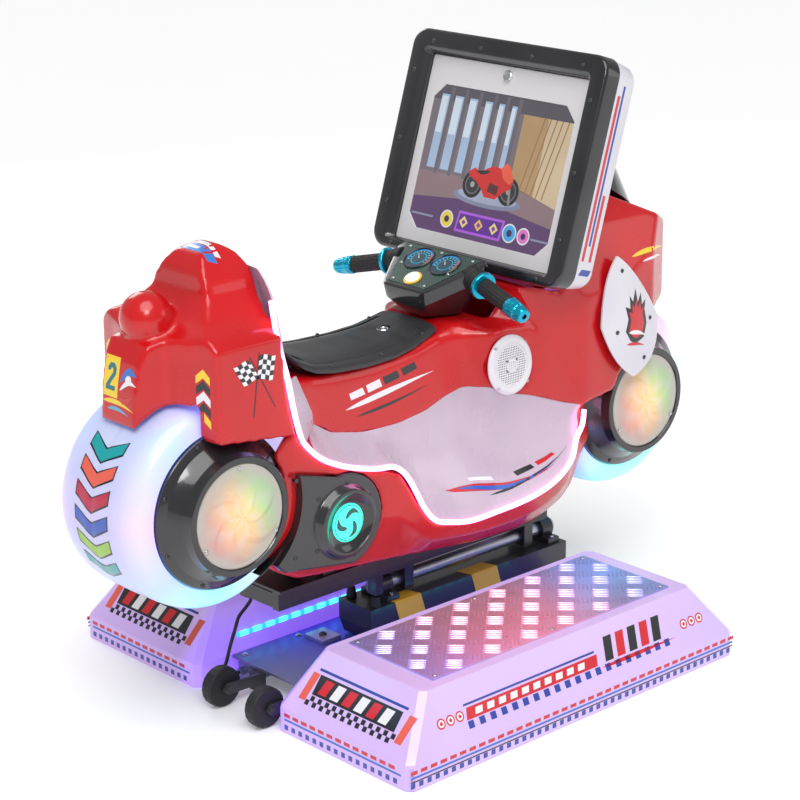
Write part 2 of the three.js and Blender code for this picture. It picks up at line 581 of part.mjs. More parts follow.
// The side panel follows the hollow; depth is measured below the body skin.
const panelSurface = (stations, margin) => (u, v, depth) => {
  const x = stations[Math.round(u * (stations.length - 1))];
  const at = (t) => {
    const [rim, middle, foot] = sectionHalf(x).slice(2, 5);
    const a = [rim[0] + (middle[0] - rim[0]) * t, rim[1] + (middle[1] - rim[1]) * t];
    const b = [middle[0] + (foot[0] - middle[0]) * t, middle[1] + (foot[1] - middle[1]) * t];
    return [a[0] + (b[0] - a[0]) * t, a[1] + (b[1] - a[1]) * t];
  };
  const [y, z] = at(THREE.MathUtils.lerp(margin, 1 - margin, v));
  const [y1, z1] = at(v + 0.02);
  const [y0, z0] = at(v - 0.02);
  const normal = new THREE.Vector2(z1 - z0, y0 - y1).normalize();
  return V(x, y - normal.x * depth, z - normal.y * depth);
};
const PANEL_X = BODY_X.filter((x) => x > -345 && x < 335);
const PANEL_FACE = 1;
const BED_SLACK = 1.6; // room behind the panel
const panelSpan = PANEL_X.length - 1;
const BED_X = [PANEL_X[0] - 2, ...PANEL_X, PANEL_X[panelSpan] + 3];
const sidePanel = slab(panelSpan, 5, panelSurface(PANEL_X, 0.03), PANEL_FACE, PANEL_FACE + PANEL_THICK);
const panelBed = slab(panelSpan + 2, 5, panelSurface(BED_X, -0.005), -30, PANEL_FACE + PANEL_THICK + BED_SLACK);

// The neon strip runs down from the tail, round the side panel and up to the fairing.
const neonPath = new THREE.CatmullRomCurve3(
  [V(-433, 152, 840), V(-424, 159, 758), V(-411, 167, 690), V(-404, 171, 640), V(-394, 169, 606),
    ...[-373, -339, -295, -247, -205, -167, -148, -134, -118, -101, -69, -34, 6, 98, 149, 201, 244, 279, 306, 323]
      .map((x) => V(x, along(x, RIM_Y) + 1, along(x, RIM_Z) + 1)),
    V(333, 188, 446), V(338, 187, 474)], false, "centripetal");
const NEON_STEPS = 34;
const neonStrip = tubeAlong(neonPath, NEON_R, NEON_STEPS);
const neonGroove = tubeAlong(neonPath, NEON_R + GAP + 0.3, NEON_STEPS);

// ---------------------------------------------------------------- tail cowl
const TAIL_SIDE = [
  [-666, 617], [-661, 690], [-650, 748], [-634, 776], [-582, 788], [-548, 812], [-521, 844], [-514, 886],
  [-498, 912], [-462, 928], [-440, 922], [-420, 908], [-405, 880], [-405, 850], [-424, 758], [-411, 690],
  [-404, 640], [-394, 584],
];
const TAIL_BACK = [[0, 930], [20, 926], [38, 914], [57, 893], [73, 868], [82, 844], [114, 812], [150, 792], [168, 774],
  [168, 584], [0, 584]];
const TAIL_WALL = 9;
const TAIL_PLAN = [[-670, 0], [-666, 50], [-600, 62], [-582, 118], [-570, 168], [-390, 168], [-390, 0]];
const mirroredPlan = (half) => [...half, ...half.filter(([, y]) => y > 0.01).map(([x, y]) => [x, -y]).reverse()];
const tailOuter = common(
  alongY(TAIL_SIDE, -200, 200), alongX(bothSides(TAIL_BACK), -700, -300), alongZ(mirroredPlan(TAIL_PLAN), 500, 1000),
);
const openBelow = (outline) => inset(outline, TAIL_WALL).map(([a, z]) => [a, z < 600 ? 500 : z]);
const tailSideIn = openBelow([[-664, 560], ...TAIL_SIDE.slice(1, -1), [-394, 560]].reverse());
const tailBackIn = openBelow(bothSides(TAIL_BACK.slice(1, -2).concat([[168, 560]])).reverse());
const tailInner = common(
  alongY(tailSideIn, -200, 200),
  alongX(tailBackIn, -700, -300),
  alongZ(inset(mirroredPlan(TAIL_PLAN.slice(1, -1)).reverse(), TAIL_WALL), 400, 1000),
);
const bumpDome = new THREE.SphereGeometry(50, 14, 9).translate(-593, 0, 811);
const tailCowl = cut(joined(tailOuter, bumpDome), tailInner, wheelSlot(REAR_AXLE), hubWell(REAR_AXLE),
  neonGroove, mirrored(neonGroove));
add("tail_cowl", tailCowl, redPlastic());

// The white back rest closes the front of the tail, above the seat.
const restSurface = (u, v, depth) => {
  const side = 2 * v - 1;
  const z = THREE.MathUtils.lerp(668, 884, u);
  const front = THREE.MathUtils.lerp(-346, -380, u) - 18 * u ** 6;
  const bulge = THREE.MathUtils.lerp(44, 10, u ** 3) * side * side;
  const half = THREE.MathUtils.lerp(152, 128, u) - 40 * u ** 5;
  return V(front - bulge - depth, side * half, z);
};
const tailFront = alongY(TAIL_SIDE.map(([x, z]) => [x + GAP, z]), -200, 200);
const backRest = cut(slab(6, 8, restSurface, 0, PANEL_THICK), tailFront);
add("back_rest", backRest, glowWhite());

// ---------------------------------------------------------------- body shell, finished
const tailBlock = alongY([[-700, 584 - GAP], [-394 + GAP, 584 - GAP], [-403, 640], [-423, 757], [-404, 850], [-404, 930],
  [-700, 930]], -200, 200);
const seatHatch = box(-265, 20, -52, 52, 600, 700);
const columnHole = bar([CONSOLE_X, 0, 600], [CONSOLE_X, 0, 760], COLUMN_R + 3, 20);
const bodyShell = cut(outerBody, innerBody, bellyOpening, seatHatch, columnHole, seatBed,
  armBed, mirrored(armBed), speakerBed, mirrored(speakerBed), wheelSlot(REAR_AXLE), wheelSlot(FRONT_AXLE),
  hubWell(REAR_AXLE), hubWell(FRONT_AXLE), alongY(aheadOfLine(0), -220, 220), tailBlock, panelBed,
  mirrored(panelBed), neonGroove, mirrored(neonGroove));
add("body_shell", mainPiece(bodyShell), redPlastic());
const trimmedPanel = cut(sidePanel, tailBlock, neonGroove, alongY(aheadOfLine(-GAP), -220, 220));
addPair("side_panel", trimmedPanel, glowWhite);
addPair("neon_strip", neonStrip, () => paint(0xffd9f4, 0.3));

// ---------------------------------------------------------------- front fairing
const FAIRING_SIDE = [
  [184, 744], [346, 483], [450, 496], [563, 629], [640, 640], [692, 622], [716, 690], [702, 760], [640, 806],
  [492, 873], [352, 942], [288, 726], [196, 752],
];
const FAIRING_PLAN = [[170, 0], [170, 150], [300, 176], [345, 186], [450, 184], [560, 168], [640, 122], [695, 60],
  [717, 0]];
const FAIRING_FRONT = [[0, 960], [92, 950], [120, 880], [150, 830], [186, 700], [190, 480], [0, 480]];
const fairingShape = (shrink) => {
  const toward = (x, centre) => centre + (x - centre) * (1 - shrink);
  return common(
    alongY(FAIRING_SIDE.map(([x, z]) => [toward(x, 480), toward(z, 720)]), -220, 220),
    alongX(bothSides(FAIRING_FRONT.map(([y, z]) => [toward(y, 0), toward(z, 700)])), 100, 800),
    alongZ(mirroredPlan(FAIRING_PLAN.map(([x, y]) => [toward(x, 480), toward(y, 0)])), 300, 1100),
  );
};
const fairing = cut(fairingShape(0), fairingShape(0.045), wheelSlot(FRONT_AXLE), hubWell(FRONT_AXLE),
  neonGroove, mirrored(neonGroove), box(330, 560, -110, 110, 560, 700));
add("front_fairing", fairing, redPlastic());

// The white cowls sit on the fairing's flanks, over the top of the front wheel.
const COWL_CORNERS = [V(425, 176, 800), V(563, 184, 630), V(461, 200, 500), V(360, 192, 636)];
const cowlSurface = (u, v, depth) => {
  const [top, right, bottom, left] = COWL_CORNERS;
  const upper = top.clone().lerp(right, u);
  const lower = left.clone().lerp(bottom, u);
  const point = upper.lerp(lower, v);
  const crown = 12 * Math.sin(Math.PI * u) * Math.sin(Math.PI * v);
  const flare = 16 * Math.sin(Math.PI * v) * u * u;
  return V(point.x + flare, point.y + crown + 1 - depth, point.z - flare * 0.6);
};
addPair("front_cowl", slab(6, 6, cowlSurface, -6, -2), glowWhite);

const shieldSurface = (u, v, depth) => {
  const angle = Math.PI * (0.03 + 0.94 * v);
  const reach = THREE.MathUtils.lerp(150, 92, u) - depth;
  const width = THREE.MathUtils.lerp(112, 84, u) - depth;
  const rise = THREE.MathUtils.lerp(0, 1, u);
  const x = THREE.MathUtils.lerp(478, 402, rise) + reach * Math.sin(angle);
  const base = 878 - 0.52 * (x - 492) + 8;
  return V(x, width * Math.cos(angle), base + 178 * rise);
};
add("windshield", slab(5, 14, shieldSurface, 0, 4), paint(0x2b2b2e, 0.25));

// ---------------------------------------------------------------- screen housing
const screen = new THREE.Group();
screen.position.set(SCREEN_X, 0, SCREEN_Z);
screen.rotation.y = SCREEN_TILT;
root.add(screen);

function roundedRect(halfWidth, low, high, r, steps = 3) {
  return [
    ...arc(halfWidth - r, high - r, r, 0, 90, steps), ...arc(-halfWidth + r, high - r, r, 90, 180, steps),
    ...arc(-halfWidth + r, low + r, r, 180, 270, steps), ...arc(halfWidth - r, low + r, r, 270, 360, steps),
  ];
}
const doorHalf = DOOR[0] / 2;
const doorHigh = DOOR[1] / 2;
function screenFrame() {
  const rim = alongX(roundedRect(...FRAME, 36), FRAME_FRONT, FRAME_BACK);
  const through = alongX(roundedRect(doorHalf + 1, -doorHigh - 1, doorHigh + 1, 6), -60, 60);
  return cut(rim, through);
}
add("screen_frame", screenFrame(), blackPlastic(), screen);

function screenShell() {
  const outline = (grow) => roundedRect(FRAME[0] - 2 - grow, FRAME[1] + 2 + grow, FRAME[2] - 2 - grow, 34);
  const layer = (x, grow) => outline(grow).map(([y, z]) => V(x, y, z));
  const outer = loft([layer(FRAME_BACK + GAP, 0), layer(70, 6), layer(BACK_DEPTH, 30)]);
  const inner = loft([layer(FRAME_BACK - 5, 5), layer(68, 11), layer(BACK_DEPTH - 5, 34)]);
  return cut(outer, inner);
}
add("screen_shell", screenShell(), glowWhite(), screen);

function screenDoor() {
  const sheet = alongX(roundedRect(doorHalf, -doorHigh, doorHigh, 5), 0, DOOR_THICK);
  const [half, low, high, chamfer] = OPENING;
  const window = [[half, low + chamfer], [half, high - chamfer], [half - chamfer, high], [-half + chamfer, high],
    [-half, high - chamfer], [-half, low + chamfer], [-half + chamfer, low], [half - chamfer, low]];
  const lockSeat = bar([-10, 0, LOCK_Z], [10, 0, LOCK_Z], 9.4, 16);
  return cut(sheet, alongX(window, -10, 10), lockSeat);
}
const LOCK_Z = 169.5;
add("screen_door", screenDoor(), paint(0xc9c7cb, 0.35, 0.5), screen);

const [monitorW, monitorH, monitorDepth] = MONITOR;
const monitorFront = DOOR_THICK + GAP;
const monitorMid = (OPENING[1] + OPENING[2]) / 2;
const monitor = joined(
  box(monitorFront, monitorFront + 14, -monitorW / 2 - 13, monitorW / 2 + 13, monitorMid - monitorH / 2 - 12,
    monitorMid + monitorH / 2 + 12),
  box(monitorFront + 12, monitorFront + monitorDepth, -120, 120, monitorMid - 90, monitorMid + 90),
);
add("monitor", monitor, paint(0x101318, 0.15), screen);

const lockBarrel = joined(
  bar([-5, 0, LOCK_Z], [DOOR_THICK + 14, 0, LOCK_Z], 9, 16),
  bar([-7, 0, LOCK_Z], [-0.5, 0, LOCK_Z], 11, 16),
  box(DOOR_THICK + 10, DOOR_THICK + 13, -6, 6, LOCK_Z - 8, LOCK_Z + 14),
);
add("door_lock", lockBarrel, paint(0xbfc2c8, 0.25, 0.9), screen);
add("game_board", box(52, 76, -90, 90, -120, 60), paint(0x1d5a34, 0.5), screen);

// ---------------------------------------------------------------- console and handlebar
// Rings of the console from the bottom up: half widths at the rear and front edges.
function consoleRing(xRear, xFront, rearHalf, frontHalf, heightAt) {
  const nip = Math.min(10, rearHalf / 4);
  return bothSides([
    [rearHalf - nip, xRear], [rearHalf, xRear + nip * 0.6], [frontHalf, xFront - nip * 1.6],
    [frontHalf - nip, xFront],
  ]).map(([y, x]) => V(x, y, heightAt(x)));
}
const faceHeight = (x) => FACE.z + (x - FACE.rear) * FACE.slope;
const consoleShape = stack([
  consoleRing(52, 130, 36, 62, () => CONSOLE_FOOT),
  consoleRing(24, 138, 60, 118, (x) => faceHeight(x) - 34),
  consoleRing(FACE.rear, FACE.front, FACE.rearHalf, FACE.frontHalf, faceHeight),
]);
const gripFrom = V(...GRIP_FROM);
const gripWay = V(...GRIP_TO).sub(gripFrom).normalize();
const onBar = (distance) => gripFrom.clone().addScaledVector(gripWay, distance).toArray();
const flip = ([x, y, z]) => [x, -y, z];
const BAR_IN = -60;
const BAR_OUT = 118;
const barPieces = (radius) => [
  bar(onBar(BAR_IN), flip(onBar(BAR_IN)), radius, 12), bar(onBar(BAR_IN), onBar(BAR_OUT), radius, 12),
  bar(flip(onBar(BAR_IN)), flip(onBar(BAR_OUT)), radius, 12),
];
add("handlebar", joined(...barPieces(BAR_R)), bareSteel());
const boot = bar(onBar(-44), onBar(-8), 25, 8, 22);
const column = bar([CONSOLE_X, 0, 640], [CONSOLE_X, 0, CONSOLE_FOOT + 4], COLUMN_R, 16);
const buttonAt = (depth) => [BUTTON_X - Math.sin(FACE_TILT) * depth, 0,
  faceHeight(BUTTON_X) + Math.cos(FACE_TILT) * depth];
const buttonHole = bar(buttonAt(-16), buttonAt(20), BUTTON_R + 0.5, 18);
const consoleBody = cut(joined(consoleShape, column, boot, mirrored(boot)), ...barPieces(BAR_R + GAP), buttonHole);
add("console_body", consoleBody, blackPlastic());
add("start_button", bar(buttonAt(-12), buttonAt(7), BUTTON_R, 18), paint(0xfdf7e0, 0.3));
function grip() {
  const flange = bar(onBar(-6), onBar(3), 27, 16);
  const sleeve = bar(onBar(0), onBar(90), 17.5, 14);
  const end = bar(onBar(88), onBar(GRIP_LENGTH), 19, 14, 13);
  return cut(joined(flange, sleeve, end), bar(onBar(-20), onBar(BAR_OUT + 6), BAR_R + GAP, 12));
}
addPair("grip", grip(), rubber);

export default root;
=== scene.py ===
# %% [markdown]
# # A ride-on racing motorcycle with a video screen
#
# The machine is a coin-operated ride for children. A red moulded motorcycle body leans
# from side to side between two glowing step platforms, and a tilted screen stands over
# the handlebar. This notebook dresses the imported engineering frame: it keeps the steel
# parts, and builds the smooth bodywork, the lights and the markings as new surfaces.

import json
import math

import bmesh
import bpy
import numpy as np
from mathutils import Matrix
from mathutils.bvhtree import BVHTree

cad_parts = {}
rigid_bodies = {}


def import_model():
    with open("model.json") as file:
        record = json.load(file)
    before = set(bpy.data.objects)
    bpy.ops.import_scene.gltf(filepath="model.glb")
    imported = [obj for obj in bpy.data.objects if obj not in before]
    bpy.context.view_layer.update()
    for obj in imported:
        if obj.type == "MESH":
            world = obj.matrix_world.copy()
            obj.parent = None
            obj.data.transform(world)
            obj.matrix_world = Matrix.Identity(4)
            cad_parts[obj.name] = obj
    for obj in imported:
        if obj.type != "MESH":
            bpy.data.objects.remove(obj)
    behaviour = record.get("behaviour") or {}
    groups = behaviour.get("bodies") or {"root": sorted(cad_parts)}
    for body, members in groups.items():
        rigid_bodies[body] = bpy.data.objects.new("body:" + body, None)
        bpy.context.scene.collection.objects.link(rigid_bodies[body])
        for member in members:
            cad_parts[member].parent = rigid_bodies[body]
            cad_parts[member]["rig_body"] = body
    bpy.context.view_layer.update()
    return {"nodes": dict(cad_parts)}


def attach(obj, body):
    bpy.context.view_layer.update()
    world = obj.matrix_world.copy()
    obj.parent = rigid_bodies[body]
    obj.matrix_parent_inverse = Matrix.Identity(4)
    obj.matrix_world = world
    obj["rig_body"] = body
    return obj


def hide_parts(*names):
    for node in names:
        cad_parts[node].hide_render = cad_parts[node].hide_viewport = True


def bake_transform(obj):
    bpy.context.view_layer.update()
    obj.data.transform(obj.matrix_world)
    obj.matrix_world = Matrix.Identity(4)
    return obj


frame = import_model()
nodes = frame["nodes"]
MM = 0.001

# %% [markdown]
# ## The camera
#
# A camera is a position and three directions: right, up and back. The view looks along
# a heading of 42.5 degrees to the right of +Y and 17.7 degrees downwards, with a very
# slight roll. Writing the three directions into a matrix is exact, and easier to check
# than three turning angles.

# %% Make the camera
CAMERA_AT = (-2.9904, -3.2743, 1.9430)
AZIMUTH, DOWN, ROLL = (math.radians(a) for a in (-42.51, 17.717, -0.508))
FOCAL_MM, SENSOR_MM, FAR_CLIP = 107.06, 36, 100


def unit(vector):
    """The vector divided by its own length."""
    vector = np.asarray(vector, float)
    return vector / np.linalg.norm(vector, axis=-1, keepdims=True)


def stand(side, lift, back, at):
    """The matrix of an object at a point whose X, Y and Z axes are the three directions."""
    rows = zip(np.stack([side, lift, back], 1), at)
    return Matrix([[*row, value] for row, value in rows] + [[0, 0, 0, 1]])


def in_scene(name, data):
    """A new object that shows the data, linked to the scene."""
    obj = bpy.data.objects.new(name, data)
    bpy.context.scene.collection.objects.link(obj)
    return obj


forward = np.array([
    -math.sin(AZIMUTH) * math.cos(DOWN), math.cos(AZIMUTH) * math.cos(DOWN), -math.sin(DOWN),
])
level_right = unit(np.cross(forward, (0, 0, 1)))
level_up = np.cross(level_right, forward)
right = level_right * math.cos(ROLL) + level_up * math.sin(ROLL)
up = level_up * math.cos(ROLL) - level_right * math.sin(ROLL)
lens = bpy.data.cameras.new("camera")
lens.lens, lens.sensor_width = FOCAL_MM, SENSOR_MM
lens.clip_end = FAR_CLIP
camera = in_scene("camera", lens)
camera.matrix_world = stand(right, up, -forward, CAMERA_AT)
bpy.context.scene.camera = camera
bpy.context.scene.view_settings.view_transform = "Standard"
print("camera looks along", forward.round(3))

# %% [markdown]
# ## Arithmetic inside a material
#
# Most finishes here are patterns: stripes, rings, bands of light. Each is a formula of
# the position. A small class lets such a formula be written as plain arithmetic, and it
# adds one Math node for each operation.


# %% Numbers that live in a material
class Number:
    """A number worked out by nodes. + - * / and the methods add one Math node each."""

    def __init__(self, mat, socket):
        self.mat, self.socket = mat, socket

    def apply(self, operation, *others):
        """This number and the others, put through one Math node."""
        math_node = self.mat.node_tree.nodes.new("ShaderNodeMath")
        math_node.operation = operation
        for slot, value in zip(math_node.inputs, (self, *others)):
            if isinstance(value, Number):
                self.mat.node_tree.links.new(value.socket, slot)
            else:
                slot.default_value = value
        return Number(self.mat, math_node.outputs[0])

    def __add__(self, other):
        return self.apply("ADD", other)

    def __sub__(self, other):
        return self.apply("SUBTRACT", other)

    def __mul__(self, other):
        return self.apply("MULTIPLY", other)

    def __truediv__(self, other):
        return self.apply("DIVIDE", other)

    def above(self, limit):
        """1 where the number is over the limit, otherwise 0."""
        return self.apply("GREATER_THAN", limit)

    def between(self, low, high):
        """1 from low to high, otherwise 0."""
        return self.above(low) * self.apply("LESS_THAN", high)

    def ramp(self, low, high):
        """0 at low, 1 at high, and a smooth S between them."""
        spread = self.mat.node_tree.nodes.new("ShaderNodeMapRange")
        spread.interpolation_type = "SMOOTHSTEP"
        self.mat.node_tree.links.new(self.socket, spread.inputs["Value"])
        spread.inputs["From Min"].default_value = low
        spread.inputs["From Max"].default_value = high
        return Number(self.mat, spread.outputs["Result"])


def xyz(mat):
    """The position on the object, in metres of the row frame, as three numbers."""
    tree = mat.node_tree
    place = tree.nodes.new("ShaderNodeTexCoord")
    split = tree.nodes.new("ShaderNodeSeparateXYZ")
    tree.links.new(place.outputs["Object"], split.inputs[0])
    return [Number(mat, socket) for socket in split.outputs]


def noise(mat, scale, detail=2.0, stretch=(1, 1, 1)):
    """Cloudy values from 0 to 1 on the object's position; stretch scales each axis."""
    tree = mat.node_tree
    place = tree.nodes.new("ShaderNodeTexCoord")
    mapping = tree.nodes.new("ShaderNodeMapping")
    mapping.inputs["Scale"].default_value = stretch
    cloud = tree.nodes.new("ShaderNodeTexNoise")
    cloud.inputs["Scale"].default_value = scale
    cloud.inputs["Detail"].default_value = detail
    tree.links.new(place.outputs["Object"], mapping.inputs[0])
    tree.links.new(mapping.outputs[0], cloud.inputs["Vector"])
    return Number(mat, cloud.outputs[0])


def mixed(mat, share, first, second):
    """The first colour where share is 0, the second where it is 1."""
    blend = mat.node_tree.nodes.new("ShaderNodeMix")
    blend.data_type = "RGBA"
    factor, low, high = (blend.inputs[i] for i in (0, 6, 7))
    mat.node_tree.links.new(share.socket, factor)
    for colour, slot in ((first, low), (second, high)):
        if isinstance(colour, bpy.types.NodeSocket):
            mat.node_tree.links.new(colour, slot)
        else:
            slot.default_value = (*colour, 1)
    return blend.outputs[2]


# %% Finishes and their sockets
def finish(name, colour, rough, metal=0.0, coat=0.0, glow=None, power=0.0):
    """A Principled material: base colour, roughness, metal, clear coat and light given off."""
    mat = bpy.data.materials.new(name)
    mat.use_nodes = True
    shader = mat.node_tree.nodes["Principled BSDF"]
    shader.inputs["Base Color"].default_value = (*colour, 1)
    shader.inputs["Roughness"].default_value = rough
    shader.inputs["Metallic"].default_value = metal
    shader.inputs["Coat Weight"].default_value = coat
    shader.inputs["Coat Roughness"].default_value = 0.06
    if glow is not None:
        shader.inputs["Emission Color"].default_value = (*glow, 1)
        shader.inputs["Emission Strength"].default_value = power
    return mat


def feed(mat, name, value):
    """Sends a colour or a number to a named socket of the material's shader."""
    socket = value.socket if isinstance(value, Number) else value
    mat.node_tree.links.new(socket, mat.node_tree.nodes["Principled BSDF"].inputs[name])


def uneven(mat, scale, spread, least, detail=2.0, stretch=(1, 1, 1)):
    """Roughness that drifts in clouds from the least value to that much more."""
    feed(mat, "Roughness", noise(mat, scale, detail, stretch) * spread + least)


def painted(mat, name):
    """The same material, with the colour stored on each face sent to the named socket."""
    paint = mat.node_tree.nodes.new("ShaderNodeAttribute")
    paint.attribute_name = "paint"
    feed(mat, name, paint.outputs["Color"])
    return mat


def grain(mat, height, distance):
    """Raises the surface by height times distance metres, as seen by the light only."""
    tree = mat.node_tree
    bump = tree.nodes.new("ShaderNodeBump")
    bump.inputs["Distance"].default_value = distance
    tree.links.new(height.socket, bump.inputs["Height"])
    tree.links.new(bump.outputs[0], tree.nodes["Principled BSDF"].inputs["Normal"])


def moulded_finish(name, colour, shade, rough, coat, glow=None, power=0.0, peel=0.00012):
    """Plastic as moulded: two close shades in slow clouds, uneven gloss and a faint orange peel."""
    mat = finish(name, colour, rough, coat=coat, glow=glow, power=power)
    feed(mat, "Base Color", mixed(mat, noise(mat, 6).ramp(0.3, 0.7), colour, shade))
    uneven(mat, 14, 0.14, rough - 0.07, 4)
    grain(mat, noise(mat, 160, 1), peel)
    return mat


# %% [markdown]
# ## Surfaces as arrays of points
#
# A surface is a grid of points: rows one way, columns the other. Neighbouring points
# make four-sided faces. With numpy the whole grid is worked out at once, and one call
# hands it to the mesh.


# %% Grids and pieces
def grid_faces(rows, columns, wrap_rows=False, wrap_columns=False):
    """Quads of a rows by columns grid; a wrapped direction joins its last line to its first."""
    i = np.arange(rows if wrap_rows else rows - 1)[:, None]
    j = np.arange(columns if wrap_columns else columns - 1)[None, :]
    i2, j2 = (i + 1) % rows, (j + 1) % columns
    return np.stack([i * columns + j, i * columns + j2, i2 * columns + j2, i2 * columns + j],
                    -1).reshape(-1, 4)


SEAM_GAP, NO_LENGTH = 2e-6, 1e-7


def sealed(mesh):
    """The mesh with its seams closed, empty faces dropped and the others turned outwards."""
    work = bmesh.new()
    work.from_mesh(mesh)
    bmesh.ops.remove_doubles(work, verts=work.verts, dist=SEAM_GAP)
    bmesh.ops.dissolve_degenerate(work, edges=work.edges, dist=NO_LENGTH)
    bmesh.ops.recalc_face_normals(work, faces=work.faces)
    work.to_mesh(mesh)
    work.free()
    return mesh


def place(name, mesh, body, mat, slot, replaces=(), crease=35):
    """Seals a mesh, smooths it up to the crease angle and lets it ride on a body."""
    sealed(mesh)
    mesh.polygons.foreach_set("use_smooth", np.ones(len(mesh.polygons), bool))
    mesh.set_sharp_from_angle(angle=math.radians(crease))
    mesh.materials.clear()
    mesh.materials.append(mat)
    obj = in_scene(name, mesh)
    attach(obj, body)
    if replaces:
        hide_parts(*replaces)
    return obj


def piece(name, points, faces, body, mat, slot, replaces=(), crease=35):
    """A closed piece from points in millimetres and faces by number."""
    mesh = bpy.data.meshes.new(name)
    mesh.from_pydata(np.asarray(points, float).reshape(-1, 3) * MM, [], np.asarray(faces))
    return place(name, mesh, body, mat, slot, replaces, crease)


def together(parts):
    """Several (points, faces) pairs as one pair."""
    points, faces, shift = [], [], 0
    for part_points, part_faces in parts:
        part_points = np.asarray(part_points, float).reshape(-1, 3)
        points.append(part_points)
        faces.append(np.asarray(part_faces) + shift)
        shift += len(part_points)
    return np.vstack(points), np.vstack(faces)


SIDES = (("left", 1), ("right", -1))


def on_side(points, sign):
    """The points as they are for the left side (1), mirrored for the right (-1)."""
    return np.asarray(points, float).reshape(-1, 3) * (1, sign, 1)


def pair(name, solid, body, mat, slot, node=None):
    """A piece on each side. With a node named, each stands for that CAD node of its side."""
    for side_name, sign in SIDES:
        stands_for = [f"{node}_{side_name}"] if node else ()
        piece(f"{name}_{side_name}", on_side(solid[0], sign), solid[1], body, mat, slot, stands_for)


def rounded(outline, radius, steps=4, closed=True):
    """Each corner becomes a parabola that starts and ends one radius, or half a side, away."""
    p = np.asarray(outline, float)
    reach = np.asarray(radius, float).reshape(-1, 1) if np.ndim(radius) else radius

    def toward(q):
        """The point on the side towards q where the rounding starts."""
        length = np.maximum(np.linalg.norm(q - p, axis=1, keepdims=True), 1e-9)
        return p + (q - p) / length * np.minimum(reach, length * 0.49)

    a, c = toward(np.roll(p, 1, 0)), toward(np.roll(p, -1, 0))
    t = np.linspace(0, 1, steps + 1)[:, None, None]
    corners = ((1 - t) ** 2 * a + 2 * t * (1 - t) * p + t**2 * c).transpose(1, 0, 2)
    if closed:
        return corners.reshape(-1, p.shape[1])
    return np.vstack([p[:1], corners[1:-1].reshape(-1, p.shape[1]), p[-1:]])


def turned(profile, axle, side=1, sides=96):
    """Profile point (r, y) at angle a goes to (axle x + r cos a, side y, axle z + r sin a)."""
    r, y = np.asarray(profile, float).T
    a = np.linspace(0, 2 * np.pi, sides, endpoint=False)[:, None]
    points = np.stack([axle[0] + r * np.cos(a), side * y + 0 * a, axle[1] + r * np.sin(a)], -1)
    return points, grid_faces(sides, len(r), wrap_rows=True, wrap_columns=True)


def curve_through(points, count):
    """Evenly spaced points on a smooth curve: Hermite cubics, with slopes from the neighbours."""
    p = np.asarray(points, float)
    s = np.concatenate([[0], np.cumsum(np.linalg.norm(np.diff(p, axis=0), axis=1))])
    slope = np.gradient(p, s, axis=0)
    at = np.linspace(0, s[-1], count)
    i = np.clip(np.searchsorted(s, at, side="right") - 1, 0, len(p) - 2)
    h = (s[i + 1] - s[i])[:, None]
    t = ((at - s[i])[:, None]) / h
    return (
        (2 * t**3 - 3 * t**2 + 1) * p[i] + (t**3 - 2 * t**2 + t) * h * slope[i]
        + (3 * t**2 - 2 * t**3) * p[i + 1] + (t**3 - t**2) * h * slope[i + 1]
    )


def tube(path, radius, sides=12, reference=(0, 1, 0)):
    """A closed round strand: at each path point, centre + r (cos a side + sin a lift)."""
    path = np.asarray(path, float)
    way = unit(np.gradient(path, axis=0))
    side = unit(np.cross(way, reference))
    lift = np.cross(side, way)
    r = np.broadcast_to(np.asarray(radius, float), (len(path),))
    r = np.concatenate([[0], r, [0]])

    def ends(rows):
        """The rows with the first and the last one doubled."""
        return np.concatenate([rows[:1], rows, rows[-1:]])

    a = np.linspace(0, 2 * np.pi, sides, endpoint=False)[None, :, None]
    circle = np.cos(a) * ends(side)[:, None] + np.sin(a) * ends(lift)[:, None]
    return ends(path)[:, None] + r[:, None, None] * circle, grid_faces(len(path) + 2, sides,
                                                                       wrap_columns=True)


def sheet_of(surface, thick, outward):
    """A grid surface with a second one thick millimetres behind it, joined all round the edge."""
    rows, columns = surface.shape[:2]
    across = unit(np.cross(np.gradient(surface, axis=0), np.gradient(surface, axis=1)))
    if np.sum(across * outward) < 0:
        across = -across
    back = surface - across * thick
    loop = np.concatenate([
        np.arange(columns), np.arange(1, rows) * columns + columns - 1,
        (rows - 1) * columns + np.arange(columns - 2, -1, -1), np.arange(rows - 2, 0, -1) * columns,
    ])
    after, shift = np.roll(loop, -1), rows * columns
    skin = grid_faces(rows, columns)
    rim = np.stack([loop, after, after + shift, loop + shift], 1)
    faces = np.vstack([skin, skin[:, ::-1] + shift, rim])
    return np.vstack([surface.reshape(-1, 3), back.reshape(-1, 3)]), faces
